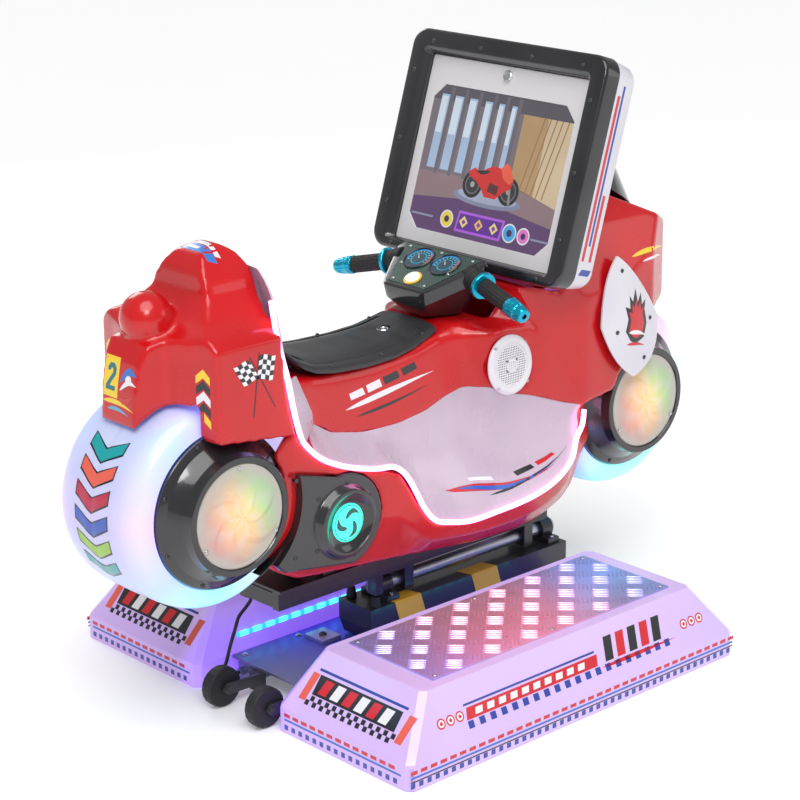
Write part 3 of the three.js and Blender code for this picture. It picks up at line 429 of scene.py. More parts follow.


# %% [markdown]
# ## The signal cable
#
# A black cable leaves a gland under the leaning chassis, hangs in a loose bend behind
# it and goes into a socket on the base frame. It is drawn as a strand 7 mm thick along a
# smooth curve, without the rubber sleeves at its ends, and it stays fixed in place,
# following neither body.

# %% Make the cable
CABLE_POINTS = [
    (-335, 52, 190.8), (-336, 52, 186), (-345, 54, 174), (-362, 56, 158), (-374, 56, 132),
    (-385, 57, 104),
    (-393, 58, 78), (-396, 62, 60), (-390, 70, 40), (-375, 79, 28), (-358, 85, 25),
    (-343.4, 86, 25),
]
cable_sheath = finish("cable sheath", (0.018, 0.018, 0.02), 0.5)
uneven(cable_sheath, 300, 0.3, 0.35)
cable_path = curve_through(CABLE_POINTS, 80)
cable = piece("signal_cable_sheath", *tube(cable_path, 3.5, 14), "bike", cable_sheath,
              "cable_jacket", ["signal_cable"])
cable.parent = None
del cable["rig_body"]
cable_path[0] * MM
cable_path * MM
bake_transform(cable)

# %% [markdown]
# ## Floor and studio light
#
# The machine stands on a plain pale floor in even, soft light. A sun lamp with a wide
# angle keeps the floor white right to the horizon, and area lamps above the viewer's
# left shoulder, on the right and behind draw soft highlights on the gloss.

# %% Floor, lamps and sky
floor_paint = finish("floor paint", (0.92, 0.92, 0.93), 0.6, glow=(1.0, 1.0, 1.0), power=0.16)
floor_paint.node_tree.nodes["Principled BSDF"].inputs["Specular IOR Level"].default_value = 0.1
uneven(floor_paint, 1.2, 0.1, 0.65)
FLOOR_HALF, FLOOR_DROP = 60, 0.0005
corners = FLOOR_HALF * np.array([(-1, -1, 0), (1, -1, 0), (1, 1, 0), (-1, 1, 0)], float)
floor_mesh = bpy.data.meshes.new("floor")
floor_mesh.from_pydata(corners, [], [(0, 1, 2, 3)])
floor_mesh.materials.append(floor_paint)
floor = in_scene("floor", floor_mesh)
floor.location.z = -FLOOR_DROP
SKY_LIGHT = 0.36
sky = bpy.data.worlds.new("studio")
sky.use_nodes = True
sky.node_tree.nodes["Background"].inputs[0].default_value = (1, 1, 1, 1)
sky.node_tree.nodes["Background"].inputs[1].default_value = SKY_LIGHT
bpy.context.scene.world = sky


def facing(at, aim):
    """The matrix that stands an object at a point with its -Z axis towards another point."""
    back = unit(np.subtract(at, aim))
    side = unit(np.cross((0, 0.001, 1), back))
    return stand(side, np.cross(back, side), back, at)


def lamp(name, kind, at, aim, size, power):
    """A lamp facing a point; size is an area lamp's side in metres or a sun's spread in degrees."""
    light = bpy.data.lights.new(name, kind)
    light.energy = power
    if kind == "SUN":
        light.angle = math.radians(size)
    else:
        light.size = size
    in_scene(name, light).matrix_world = facing(at, aim)


lamp("soft sun", "SUN", (-2, -3, 7), (0, 0, 0), 50, 1.9)
lamp("key lamp", "AREA", (-2.2, -2.4, 3.0), (0, 0, 0.5), 1.1, 34)
lamp("fill lamp", "AREA", (2.8, -3.0, 1.8), (0, 0, 0.5), 1.6, 10)
lamp("edge lamp", "AREA", (0.6, 3.4, 2.6), (0, 0, 0.7), 1.4, 26)

# %% [markdown]
# ## Bodywork
#
# The red shells are rotational mouldings: thick plastic with every edge rounded by one
# to two centimetres. The engineering solids have the right faces but sharp corners. So
# each solid is rebuilt as an even mesh of small squares, and then every point is moved
# towards the mean of its neighbours a few times. That wears all corners down evenly.
# The body and the front fairing meet in one continuous skin, so they are rebuilt
# together.


# %% Round off solids
SOFT_ROUNDS, RELAX_SHARE = 14, 0.5


def relax(points, edges, rounds, share):
    """Each round moves every point a share of the way to the mean of its neighbours."""
    count = np.bincount(edges.ravel(), minlength=len(points))[:, None]
    for _ in range(rounds):
        total = np.stack([
            np.bincount(edges[:, 0], points[edges[:, 1], k], len(points))
            + np.bincount(edges[:, 1], points[edges[:, 0], k], len(points)) for k in range(3)
        ], 1)
        points = points + share * (total / count - points)
    return points


def moulding(name, solids, square, rounds, mat, slot, softer=None):
    """The solids as one, remeshed in even squares and relaxed; softer(points) adds shares."""
    work = bmesh.new()
    for node in solids:
        work.from_mesh(nodes[node].data)
    bmesh.ops.remove_doubles(work, verts=work.verts, dist=1e-5)
    mesh = bpy.data.meshes.new("solid")
    work.to_mesh(mesh)
    work.free()
    rough = in_scene("rough", mesh)
    remesh = rough.modifiers.new("squares", "REMESH")
    remesh.mode, remesh.voxel_size = "VOXEL", square
    graph = bpy.context.evaluated_depsgraph_get()
    mesh = bpy.data.meshes.new_from_object(rough.evaluated_get(graph))
    bpy.data.objects.remove(rough)
    points = np.empty(len(mesh.vertices) * 3)
    mesh.vertices.foreach_get("co", points)
    points = points.reshape(-1, 3)
    edges = np.empty(len(mesh.edges) * 2, np.int32)
    mesh.edges.foreach_get("vertices", edges)
    edges = edges.reshape(-1, 2)
    if softer is not None:
        points = relax(points, edges, SOFT_ROUNDS, softer(points)[:, None])
    points = relax(points, edges, rounds, RELAX_SHARE)
    mesh.vertices.foreach_set("co", points.ravel())
    obj = place(name, mesh, "bike", mat, slot, solids, crease=60)
    print(name, len(mesh.polygons), "squares")
    return obj


red_gloss = moulded_finish("red gloss plastic", (0.60, 0.006, 0.009), (0.53, 0.003, 0.006), 0.26,
                           0.45, peel=0.00005)
red_gloss.node_tree.nodes["Principled BSDF"].inputs["Specular IOR Level"].default_value = 0.4


def near(points, centre, reach):
    """1 at the centre, falling to 0 at the given distance."""
    away = np.linalg.norm((points - np.asarray(centre) * MM) / (np.asarray(reach) * MM), axis=1)
    return np.clip(1.4 - away, 0, 1)


def hump_soft(points):
    """The foot of the hump and the dome flow into the shoulders."""
    foot = near(points, (-550, 0, 815), (60, 130, 40))
    dome = near(points, (-470, 0, 800), (100, 130, 30))
    return 0.5 * np.clip(foot + dome, 0, 1)


skins = {
    "tail": moulding("tail_cowl_skin", ["tail_cowl"], 0.0042, 8, red_gloss, "red_plastic",
                     hump_soft),
    "body": moulding("body_skin", ["body_shell", "front_fairing"], 0.0048, 6, red_gloss,
                     "red_plastic"),
}

# %% [markdown]
# ## Side panels and back rest
#
# Each side panel is a milky translucent moulding that sinks into the flank between the
# neon line and the waist, deepest below the speaker. Across the panel the surface is a
# parabola drawn from the rim, past a middle point inside the hollow, to the foot of the
# waist. The same three curves were used for the solid, and are eased here.

# %% Panel surfaces
RIM_Y = [(-460, 140), (-396, 158), (-295, 165), (-205, 172), (-148, 180), (-101, 186), (-34, 190),
         (300, 190),
         (345, 172), (400, 140)]
RIM_Z = [(-396, 609), (-373, 565), (-339, 529), (-295, 504), (-247, 487), (-205, 477), (-167, 472),
         (-148, 458),
         (-134, 439), (-118, 410), (-101, 377), (-69, 342), (-34, 331), (6, 322), (98, 321),
         (149, 323), (201, 329),
         (244, 340), (279, 358), (306, 384), (323, 415), (337, 470)]
FOOT_Y = [(-460, 130), (-340, 122), (-314, 112), (-186, 108), (31, 108), (71, 115), (85, 140),
          (105, 160), (132, 168),
          (335, 184), (400, 138)]
FOOT_Z = [(-340, 600), (-314, 577), (-264, 546), (-186, 528), (-92, 522), (-20, 530), (31, 547),
          (71, 560), (105, 560),
          (132, 544), (198, 527), (287, 495), (337, 482), (400, 440)]
HOLLOW = [(-340, 8), (-200, 10), (-100, 34), (60, 58), (180, 52), (300, 26), (337, 4)]


def eased(table, x, window=9):
    """The table's value at x, averaged over a window so that its corners become curves."""
    xs, values = np.asarray(table, float).T
    shifts = np.linspace(-window, window, 9)
    return np.mean([np.interp(np.asarray(x) + shift, xs, values) for shift in shifts], axis=0)


def panel_points(x, t):
    """Parabola from the rim (t = 0) past the middle of the hollow to the waist foot (t = 1)."""
    rim = np.stack([x, eased(RIM_Y, x), eased(RIM_Z, x, 3)], -1)
    foot = np.stack([x, eased(FOOT_Y, x), eased(FOOT_Z, x)], -1)
    middle = np.stack([
        x, (rim[..., 1] + foot[..., 1]) / 2 - eased(HOLLOW, x, 25),
        rim[..., 2] * 0.55 + foot[..., 2] * 0.45,
    ], -1)
    t = t[..., None]
    return (1 - t) ** 2 * rim + 2 * t * (1 - t) * middle + t**2 * foot


# The milky plastic of the side panels, the back rest and the band gets a faint violet glow, though
# it is no lamp. This glow is painted light: it is weakest at the top and grows towards the bottom
# of the side panel.
painted_glow_white = moulded_finish(
    "milky lit plastic", (0.56, 0.48, 0.54), (0.50, 0.42, 0.50), 0.28, 0.4, (0.60, 0.28, 0.80),
    0.16)
panel_height = xyz(painted_glow_white)[2]
feed(painted_glow_white, "Emission Strength", panel_height.ramp(0.62, 0.30) * 0.06 + 0.02)
px, pt = np.meshgrid(np.linspace(-336, 331, 150), np.linspace(-0.015, 1.02, 44), indexing="ij")
panel_face = panel_points(px, pt)
panel_solid = sheet_of(panel_face, 3.2, (0, 1, 0))
pair("side_panel_skin", panel_solid, "bike", painted_glow_white, "white_glow", "side_panel")

ru, rv = np.meshgrid(np.linspace(0, 1, 40), np.linspace(-1, 1, 60), indexing="ij")
rest_z = 668 + 216 * ru
rest_front = -346 - 34 * ru - 18 * ru**6
rest_bulge = (44 - 34 * ru**3) * rv**2
rest_half = 152 - 24 * ru - 40 * ru**5
rest_face = np.stack([rest_front - rest_bulge, rv * rest_half, rest_z], -1)
piece("back_rest_skin", *sheet_of(rest_face, 3.4, (1, 0, 0)), "bike", painted_glow_white, "white_glow",
      ["back_rest"])

# The white band goes on down both sides of the tail's front, behind the neon, to the panel.
bu, bv = np.meshgrid(np.linspace(0, 1, 36), np.linspace(0, 1, 14), indexing="ij")
BAND_OUTER = [(0, -409, 166.5, 690), (0.45, -402, 170, 642), (0.75, -392, 169.5, 606),
              (1, -372, 167, 568)]
BAND_INNER = [(0, -378, 150, 690), (0.45, -352, 146, 640), (0.75, -330, 136, 606),
              (1, -318, 124, 580)]
band_rows = [np.stack([np.interp(bu[:, 0], *np.asarray(t, float)[:, [0, k]].T) for k in (1, 2, 3)],
                      -1)
             for t in (BAND_OUTER, BAND_INNER)]
band_face = band_rows[0][:, None] * (1 - bv[..., None]) + band_rows[1][:, None] * bv[..., None]
pair("rest_band", sheet_of(band_face, 3.0, (1, 0.6, 0)), "bike", painted_glow_white, "white_glow")

# %% [markdown]
# ## Neon strip
#
# A clear tube of pink light, 10 mm thick, runs from the back rest round the panel and
# up to the fairing. It gives off real light, so it colours the plastic beside it.

# %% Neon
neon_light = finish("neon tube", (1.0, 0.75, 0.95), 0.35, glow=(1.0, 0.34, 0.80), power=3.6)
layer_weight = neon_light.node_tree.nodes.new("ShaderNodeLayerWeight")
layer_weight.inputs[0].default_value = 0.35
edge_share = Number(neon_light, layer_weight.outputs["Facing"])
feed(neon_light, "Emission Color", mixed(neon_light, edge_share, (1.0, 0.42, 0.80),
                                         (1.0, 0.06, 0.55)))
NEON_TOP = [(-433, 152, 840), (-424, 159, 758), (-411, 167, 690), (-404, 171, 640),
            (-394, 169, 606)]
NEON_X = [-373, -339, -295, -247, -205, -167, -148, -134, -118, -101, -69, -34, 6, 98, 149, 201,
          244, 279, 306, 323]
neon_rim = [(x, np.interp(x, *zip(*RIM_Y)) + 1.5, np.interp(x, *zip(*RIM_Z)) + 1) for x in NEON_X]
neon_path = curve_through(NEON_TOP + neon_rim + [(333, 188.5, 446), (338, 187.5, 474)], 260)
pair("neon_tube", tube(neon_path, 5.2, 14), "bike", neon_light, "neon", "neon_strip")

# %% [markdown]
# ## Seat
#
# The seat is a black moulding that lies on the waist of the body. A lid in its middle
# opens on a hinge at the rear and is held by a small chrome lock. The section is drawn
# once for any x, and the frame and lid are the same section with different margins.

# %% Seat
SEAT_TOP = [(-345, 724), (-322, 694), (-295, 680), (-250, 671), (-170, 665), (-90, 665), (-31, 671),
            (14, 682), (34, 688)]
SEAT_HALF = [(-345, 60), (-322, 98), (-295, 108), (-170, 106), (-90, 100), (14, 84), (34, 80)]
LID_MARGIN = 22


def seat_ring(x, extra, low, high):
    """Section of the seat: flat underside, upright edge, rounded shoulder, gently crowned top."""
    half, top = eased(SEAT_HALF, x, 7) + extra, eased(SEAT_TOP, x, 7)
    side = [(half, top + low), (half, top + high - 5), (half - 6, top + high - 1),
            (half * 0.55, top + high + 5)]
    ring = np.array([*side, *[(-y, z) for y, z in reversed(side)]])
    return rounded(ring, np.array([1, 5, 6, 40, 40, 6, 5, 1], float), 5)


def seat_skin(stations, extra, low, high):
    """Rings at every station, closed by a fan at each end: points and faces."""
    rings = [seat_ring(x, extra, low, high) for x in stations]
    ends = [np.tile(rings[k].mean(0), (len(rings[0]), 1)) for k in (0, -1)]
    rows = [ends[0], *rings, ends[1]]
    at = [stations[0], *stations, stations[-1]]
    points = np.stack([np.column_stack([np.full(len(r), x), r]) for x, r in zip(at, rows)])
    return points.reshape(-1, 3), grid_faces(len(rows), len(rings[0]), wrap_columns=True)


def carved(name, mesh_from, cutters):
    """The closed mesh with the cutters' volumes taken out, as mesh data."""
    base = in_scene("base solid", mesh_from)
    for index, cutter in enumerate(cutters):
        cut = base.modifiers.new("cut", "BOOLEAN")
        cut.operation, cut.solver = "DIFFERENCE", "EXACT"
        cut.object = in_scene(f"tool {index}", cutter)
    graph = bpy.context.evaluated_depsgraph_get()
    mesh = bpy.data.meshes.new_from_object(base.evaluated_get(graph))
    mesh.name = name
    for obj in [base, *[m.object for m in base.modifiers]]:
        bpy.data.objects.remove(obj)
    return mesh


def mesh_of(name, points, faces):
    """Mesh data from points in millimetres, with its faces turned outwards."""
    mesh = bpy.data.meshes.new(name)
    mesh.from_pydata(np.asarray(points, float).reshape(-1, 3) * MM, [], np.asarray(faces).tolist())
    return sealed(mesh)


def rod(start, end, radius):
    """A plain round bar between two points, as points and faces."""
    start, end = np.asarray(start, float), np.asarray(end, float)
    reference = (0, 0, 1) if abs(unit(end - start)[2]) < 0.9 else (1, 0, 0)
    return tube(np.linspace(start, end, 3), radius, 32, reference)


def block(x0, x1, y0, y1, z0, z1):
    """A rectangular block, as points and faces."""
    x, y, z = np.meshgrid((x0, x1), (y0, y1), (z0, z1), indexing="ij")
    faces = [(0, 1, 3, 2), (4, 6, 7, 5), (0, 4, 5, 1), (2, 3, 7, 6), (0, 2, 6, 4), (1, 5, 7, 3)]
    return np.stack([x, y, z], -1).reshape(-1, 3), np.array(faces)


seat_black = moulded_finish("satin black plastic", (0.022, 0.022, 0.024), (0.03, 0.03, 0.032), 0.42,
                            0.12, peel=0.0002)
chrome = finish("polished chrome", (0.78, 0.79, 0.81), 0.12, metal=1.0)
uneven(chrome, 90, 0.1, 0.08)
seat_x = np.linspace(-344.5, 33.6, 90)
seat_mesh = mesh_of("seat", *seat_skin(seat_x, 0, -13, 0))
lid_hole = mesh_of("lid hole", *seat_skin(np.linspace(-293.6, 8.6, 60), 0.6 - LID_MARGIN, -40, 20))
cross_groove = mesh_of("cross groove", *block(-311, -307, -140, 140, 688.5, 760))
place("seat_skin", carved("seat", seat_mesh, [lid_hole, cross_groove]), "bike", seat_black,
      "seat_black", ["seat_frame"])
LOCK_X, LOCK_TOP = -31, 674.4
lid_mesh = mesh_of("lid", *seat_skin(np.linspace(-293, 8, 60), -LID_MARGIN, -6, 3))
lock_hole = mesh_of("lock hole", *rod((LOCK_X, 0, 640), (LOCK_X, 0, 720), 14.3))
place("seat_lid_skin", carved("lid", lid_mesh, [lock_hole]), "lid", seat_black, "seat_black",
      ["seat_lid"])


def lathe(profile, start, way, sides=40):
    """Profile (r, d) turned about a line: start + way d + r (cos a u + sin a v)."""
    r, d = np.asarray(profile, float).T
    way = unit(way)
    u = unit(np.cross(way, (0, 0, 1) if abs(way[2]) < 0.9 else (1, 0, 0)))
    v = np.cross(way, u)
    a = np.linspace(0, 2 * np.pi, sides, endpoint=False)[:, None, None]
    spoke_way = np.cos(a) * u + np.sin(a) * v
    points = np.asarray(start, float) + d[:, None] * way + r[:, None] * spoke_way
    return points, grid_faces(sides, len(r), wrap_rows=True)


KEY_PROFILE = [(0, -18), (13.8, -18), (13.8, 1), (12.6, 2.4), (9, 2.4), (8.4, 1.2), (4.5, 1.2),
               (4.2, 2), (0, 2)]
seat_key = together([
    lathe(KEY_PROFILE, (LOCK_X, 0, LOCK_TOP + 2.4), (0, 0, 1)),
    block(LOCK_X - 4, LOCK_X + 30, -5, 5, LOCK_TOP - 26, LOCK_TOP - 22),
    block(LOCK_X - 3, LOCK_X + 3, -0.8, 0.8, LOCK_TOP + 4, LOCK_TOP + 4.9),
])
piece("seat_key_cam", *seat_key, "seat_key", chrome, "lock_chrome", ["seat_lock"])
print("seat", len(seat_x), "sections")

# %% [markdown]
# ## Arm covers with their badges
#
# A gloss black cover runs from the rear hub to a round boss on the flank. The boss holds
# a conical dish with a glowing disc in its middle. The cover is drawn in polar form
# about the disc: at each angle, rows of points go from the centre to the outline.

# %% Arm covers
REAR_AXLE, FRONT_AXLE, BADGE = (-535, 469), (535, 447), (-284, 393)
gloss_black = moulded_finish("gloss black plastic", (0.012, 0.012, 0.014), (0.02, 0.02, 0.023),
                             0.18, 0.7, peel=0.00008)
hub_black = moulded_finish("hub black plastic", (0.014, 0.014, 0.016), (0.022, 0.022, 0.025), 0.2,
                           0.6, peel=0.00008)
arc_angles = np.radians(np.linspace(-76, 100, 60))
ARM_END = [(-430, 520), (-500, 500), (-480, 380), (-430, 330)]
arm_outline = np.vstack([
    np.column_stack([BADGE[0] + 92 * np.cos(arc_angles), BADGE[1] + 92 * np.sin(arc_angles)]),
    rounded(np.array(ARM_END, float), 14, 5, closed=False),
])
closed_outline = np.vstack([arm_outline, arm_outline[:1]])
spread = np.concatenate([[0], np.cumsum(np.linalg.norm(np.diff(closed_outline, axis=0), axis=1))])
even = np.linspace(0, spread[-1], 240, endpoint=False)
arm_edge = np.column_stack([np.interp(even, spread, closed_outline[:, k]) for k in (0, 1)])
away = arm_edge - BADGE
edge_distance = np.linalg.norm(away, axis=1, keepdims=True)
ray = away / edge_distance


def arm_row(radius, y):
    """A ring of points at that distance from the badge's axis; one radius, or one for each ray."""
    flat = BADGE + ray * radius
    return np.column_stack([flat[:, 0], np.full(len(flat), y), flat[:, 1]])


BOSS_ROWS = [(0.01, 176), (38, 176), (40, 176.4), (55, 181.6), (57, 184), (62, 184.2), (65, 183.2),
             (67, 180.5),
             (71, 169.4), (72.5, 168.2)]
RIM_ROWS = [(2.6, 168), (0.8, 167.2), (0, 165.4), (0, 152)]
BOSS_FOOT, RIM_MARGIN, DECK_Y, BACK_Y = 74, 4, 168, 152
deck_width = edge_distance - RIM_MARGIN - BOSS_FOOT
arm_rows = np.stack([
    *[arm_row(radius, y) for radius, y in BOSS_ROWS],
    *[arm_row(BOSS_FOOT + share * deck_width, DECK_Y) for share in (0.02, 0.34, 0.67, 0.98)],
    *[arm_row(edge_distance - inward, y) for inward, y in RIM_ROWS],
    arm_row(0.01, BACK_Y),
])
arm_faces = grid_faces(len(arm_rows), arm_rows.shape[1], wrap_columns=True)
arm_mesh = mesh_of("arm", arm_rows, arm_faces)
hub_well_profile = [(0, 100), (150.6, 100), (150.6, 260), (0, 260)]
hub_well = mesh_of("hub well", *turned(hub_well_profile, REAR_AXLE, 1, 96))
arm_whole = carved("arm cover", arm_mesh, [hub_well])

badge_glow = finish("badge glow", (0.02, 0.12, 0.1), 0.3, coat=0.5, glow=(0.0, 1.0, 0.62),
                    power=1.6)
badge_x, _, badge_z = xyz(badge_glow)
east, north = badge_x - BADGE[0] * MM, badge_z - BADGE[1] * MM
badge_r = (east * east + north * north).apply("SQRT")
badge_angle = north.apply("ARCTAN2", east)
blades = (badge_angle * 3 + badge_r * 190).apply("SINE").ramp(0.15, 0.45)
swirl = blades * badge_r.between(0.010, 0.029)
ring_line = badge_r.between(0.0325, 0.0345)
dark_share = (swirl + ring_line).apply("MINIMUM", 1)
feed(badge_glow, "Emission Color", mixed(badge_glow, dark_share, (0.02, 0.95, 0.62),
                                         (0.0, 0.05, 0.045)))
feed(badge_glow, "Base Color", mixed(badge_glow, dark_share, (0.05, 0.6, 0.45), (0.01, 0.02, 0.02)))
BADGE_PROFILE = [(0, 175), (37, 175), (37, 177.6), (36, 178.6), (33, 179.2), (0, 179.6)]

# A pan-head screw: a low dome with a cross slot, drawn once and set wherever one is seen.
SCREW_PROFILE = [(0, -2), (1, -2), (1, 0.25), (0.86, 0.42), (0.5, 0.55), (0, 0.6)]
SLOT_FACES = [(0, 3, 2, 1), (4, 5, 6, 7), (0, 1, 5, 4), (1, 2, 6, 5), (2, 3, 7, 6), (3, 0, 4, 7)]
screw_steel = finish("blackened screw", (0.1, 0.1, 0.11), 0.35, metal=0.9)
uneven(screw_steel, 200, 0.2, 0.25)
bright_screw = finish("bright screw", (0.62, 0.62, 0.65), 0.28, metal=1.0)
uneven(bright_screw, 200, 0.2, 0.18)


def screws(name, places, way, radius, body, mat, slot, sides=18):
    """Screw heads of that radius at each place, all facing one way, as one piece."""
    heads = []
    for at in places:
        profile = [(r * radius, d * radius) for r, d in SCREW_PROFILE]
        heads.append(lathe(profile, at, way, sides))
        u = unit(np.cross(unit(way), (0.3, 0.5, 0.81)))
        v = np.cross(unit(way), u)
        top = np.asarray(at, float) + unit(way) * radius * 0.56
        for long, short in ((u, v), (v, u)):
            bar = np.array([i * 0.55 * long + j * 0.12 * short for i,
                            j in ((-1, -1), (1, -1), (1, 1), (-1, 1))]) * radius
            low, high = top + bar, top + bar + unit(way) * 0.09 * radius
            heads.append((np.vstack([low, high]), SLOT_FACES))
    return piece(name, *together(heads), body, mat, slot)


ARM_SCREWS = [(-262, 322), (-216, 366), (-222, 428), (-276, 466), (-346, 452), (-352, 352),
              (-398, 500), (-404, 352)]
for side_name, sign in SIDES:
    mesh = arm_whole.copy()
    mesh.transform(Matrix.Diagonal((1, sign, 1, 1)))
    place(f"arm_cover_skin_{side_name}", mesh, "bike", gloss_black, "gloss_black",
          [f"arm_cover_{side_name}"])
    piece(f"badge_{side_name}", *turned(BADGE_PROFILE, BADGE, sign, 64), "bike", badge_glow,
          "fan_lens")
    screws(f"arm_screws_{side_name}", [(x, sign * 168.2, z) for x, z in ARM_SCREWS], (0, sign, 0),
           4.2, "bike",
           screw_steel, "gloss_black")
liner_a, liner_k = np.meshgrid(np.radians(np.linspace(-66, 34, 50)), np.arange(5), indexing="ij")
liner_r = np.array([148.3, 150.3, 150.3, 148.3, 148.3])[liner_k]
liner_y = np.array([128.4, 128.4, 151.6, 151.6, 128.4])[liner_k]
liner = np.stack([REAR_AXLE[0] + liner_r * np.cos(liner_a), liner_y,
                  REAR_AXLE[1] + liner_r * np.sin(liner_a)], -1)[:, :4]
liner_faces = np.vstack([grid_faces(50, 4, wrap_columns=True),
                         [(0, 1, 2, 3), (199, 198, 197, 196)]])
pair("hub_well_liner", (liner, liner_faces), "bike", gloss_black, "gloss_black")
print("arm cover", len(arm_whole.polygons), "faces")

# %% [markdown]
# ## Speakers
#
# A white 4-inch speaker sits in each flank. Its grille is a plate full of small round
# holes. Holes in the mesh would take thousands of faces, so the holes are dark
# spots of the material, laid out on a square grid in the speaker's own plane.

# %% Speakers
SPEAKER_AT, SPEAKER_LEAN = (151, 162, 602), 0.1
SPEAKER_PROFILE = [(0, -12), (38, -12), (38, -1), (46, 0), (59, 0), (59, 3.4), (58, 4.4), (54, 8.4),
                   (52, 9), (45, 9), (43.6, 8.2),
                   (43, 6.4), (20, 7.2), (0, 7.6)]


def in_speaker(points, sign):
    """From the speaker's own frame (axis +Y) to the bike: tilt about X, then move, then mirror."""
    p = np.asarray(points, float).reshape(-1, 3)
    c, s = math.cos(SPEAKER_LEAN), math.sin(SPEAKER_LEAN)
    leant = np.column_stack([p[:, 0], p[:, 1] * c - p[:, 2] * s, p[:, 1] * s + p[:, 2] * c])
    return (leant + SPEAKER_AT) * (1, sign, 1)


speaker_white = finish("speaker plastic", (0.78, 0.76, 0.80), 0.35, coat=0.2)
HOLE_PITCH, HOLE_RADIUS, GRILLE_INNER, GRILLE_OUTER = 4.6, 0.27, 15, 39
sx, _, sz = xyz(speaker_white)
su, sv = (sx - SPEAKER_AT[0] * MM) * 1000, (sz - SPEAKER_AT[2] * MM) * 1005
s_radius = (su * su + sv * sv).apply("SQRT")
du, dv = (across / HOLE_PITCH - (across / HOLE_PITCH).apply("FLOOR") - 0.5 for across in (su, sv))
spot = (du * du + dv * dv).apply("SQRT")
hole_share = spot.apply("LESS_THAN", HOLE_RADIUS) * s_radius.between(GRILLE_INNER, GRILLE_OUTER)
feed(speaker_white, "Base Color", mixed(speaker_white, hole_share, (0.78, 0.76, 0.80),
                                        (0.03, 0.03, 0.035)))
uneven(speaker_white, 60, 0.15, 0.28)
speaker_points, speaker_faces = turned(SPEAKER_PROFILE, (0, 0), 1, 72)
bars = together([
    block(-14, 14, 6.5, 9.2, -12, -7.5), block(-14, 14, 6.5, 9.2, 7.5, 12),
    block(-14, -10, 6.5, 9.2, -12, 12),
    block(10, 14, 6.5, 9.2, -12, 12), block(-2, 2, 6.5, 9.2, -8, 8),
    block(-7.5, -4.5, 6.5, 9.2, -8, 8),
    block(4.5, 7.5, 6.5, 9.2, -8, 8),
])
for side_name, sign in SIDES:
    piece(f"speaker_skin_{side_name}", in_speaker(speaker_points, sign), speaker_faces, "bike",
          speaker_white,
          "speaker_white", [f"speaker_{side_name}"])
    piece(f"speaker_bars_{side_name}", in_speaker(bars[0], sign), bars[1], "bike", speaker_white,
          "speaker_white")
    spots = [(55 * math.cos(a), 5.6, 55 * math.sin(a)) for a in np.radians((45, 135, 225, 315))]
    out = in_speaker([(0, 1, 0)], sign)[0] - in_speaker([(0, 0, 0)], sign)[0]
    screws(f"speaker_screws_{side_name}", in_speaker(spots, sign) + out * 2.0, out, 3.2, "bike",
           bright_screw,
           "speaker_white")

# %% [markdown]
# ## Wheels
#
# The wheels are lamps. Each tyre is a hollow ring of milky plastic with coloured light
# inside that changes round the ring. The hub is a gloss black stepped ring, and in its
# middle a frosted lens with six curved blades glows from red to yellow and green.

# %% Tyres, hubs and lenses
TYRE_PROFILE = [(150, 121), (166, 119), (179, 112.5), (188, 101), (193.4, 88), (196, 70),
                (196.6, 35), (196.8, 3),
                (196.2, 0)]
tyre_outer = np.array([*TYRE_PROFILE, *[(r, -y) for r, y in reversed(TYRE_PROFILE[:-1])]], float)
tyre_outer = curve_through(tyre_outer, 61)
tyre_inner = np.column_stack([tyre_outer[:, 0] - 6, tyre_outer[:, 1] * 0.95])[::-1]
tyre_section = np.vstack([tyre_outer, np.clip(tyre_inner, (150.2, -200), (400, 200))])


def tyre_finish(name, axle, hues, phase):
    """Milky plastic whose inner light changes colour with the angle round the axle."""
    mat = finish(name, (0.52, 0.55, 0.62), 0.3, coat=0.35)
    x, y, z = xyz(mat)
    dx, dz = x - axle[0] * MM, z - axle[1] * MM
    turn = (dz.apply("ARCTAN2", dx) + phase) / (2 * math.pi) + 0.5
    ramp = mat.node_tree.nodes.new("ShaderNodeValToRGB")
    mat.node_tree.links.new(turn.apply("FRACT").socket, ramp.inputs[0])
    stops = ramp.color_ramp
    while len(stops.elements) < len(hues):
        stops.elements.new(0.5)
    for element, (at, hue) in zip(stops.elements, hues):
        element.position, element.color = at, (*hue, 1)
    feed(mat, "Emission Color", ramp.outputs[0])
    across = y.apply("ABSOLUTE")
    feed(mat, "Emission Strength", across.ramp(0.05, 0.118) * 0.62 + 0.30)
    return mat


CYAN, BLUE, VIOLET, PINK, MINT, WHITE = (
    (0.05, 0.75, 0.95), (0.10, 0.28, 1.0), (0.42, 0.18, 0.95), (0.95, 0.25, 0.6), (0.1, 0.95, 0.55),
    (0.6, 0.75, 0.95))
REAR_HUES = [(0.0, VIOLET), (0.12, BLUE), (0.24, CYAN), (0.36, WHITE), (0.55, WHITE), (0.7, VIOLET),
             (0.85, BLUE), (1.0, VIOLET)]
FRONT_HUES = [(0.0, PINK), (0.12, VIOLET), (0.26, CYAN), (0.42, MINT), (0.55, CYAN), (0.7, PINK),
              (0.85, VIOLET), (1.0, PINK)]
HUB_PROFILE = [(0, 0.6), (34, 0.6), (34, 146), (98, 146), (137.5, 113), (147.5, 113), (147.5, 126),
               (146.4, 127.4), (133, 132),
               (131, 133.6), (114.5, 156.5), (113.4, 159), (110.4, 176), (109, 177), (99.4, 177),
               (98, 175.4), (98, 163), (0, 163)]
lens_turn = np.linspace(0, 2 * np.pi, 144, endpoint=False)
lens_r, lens_a = np.meshgrid(np.linspace(0.02, 96.4, 40), lens_turn, indexing="ij")


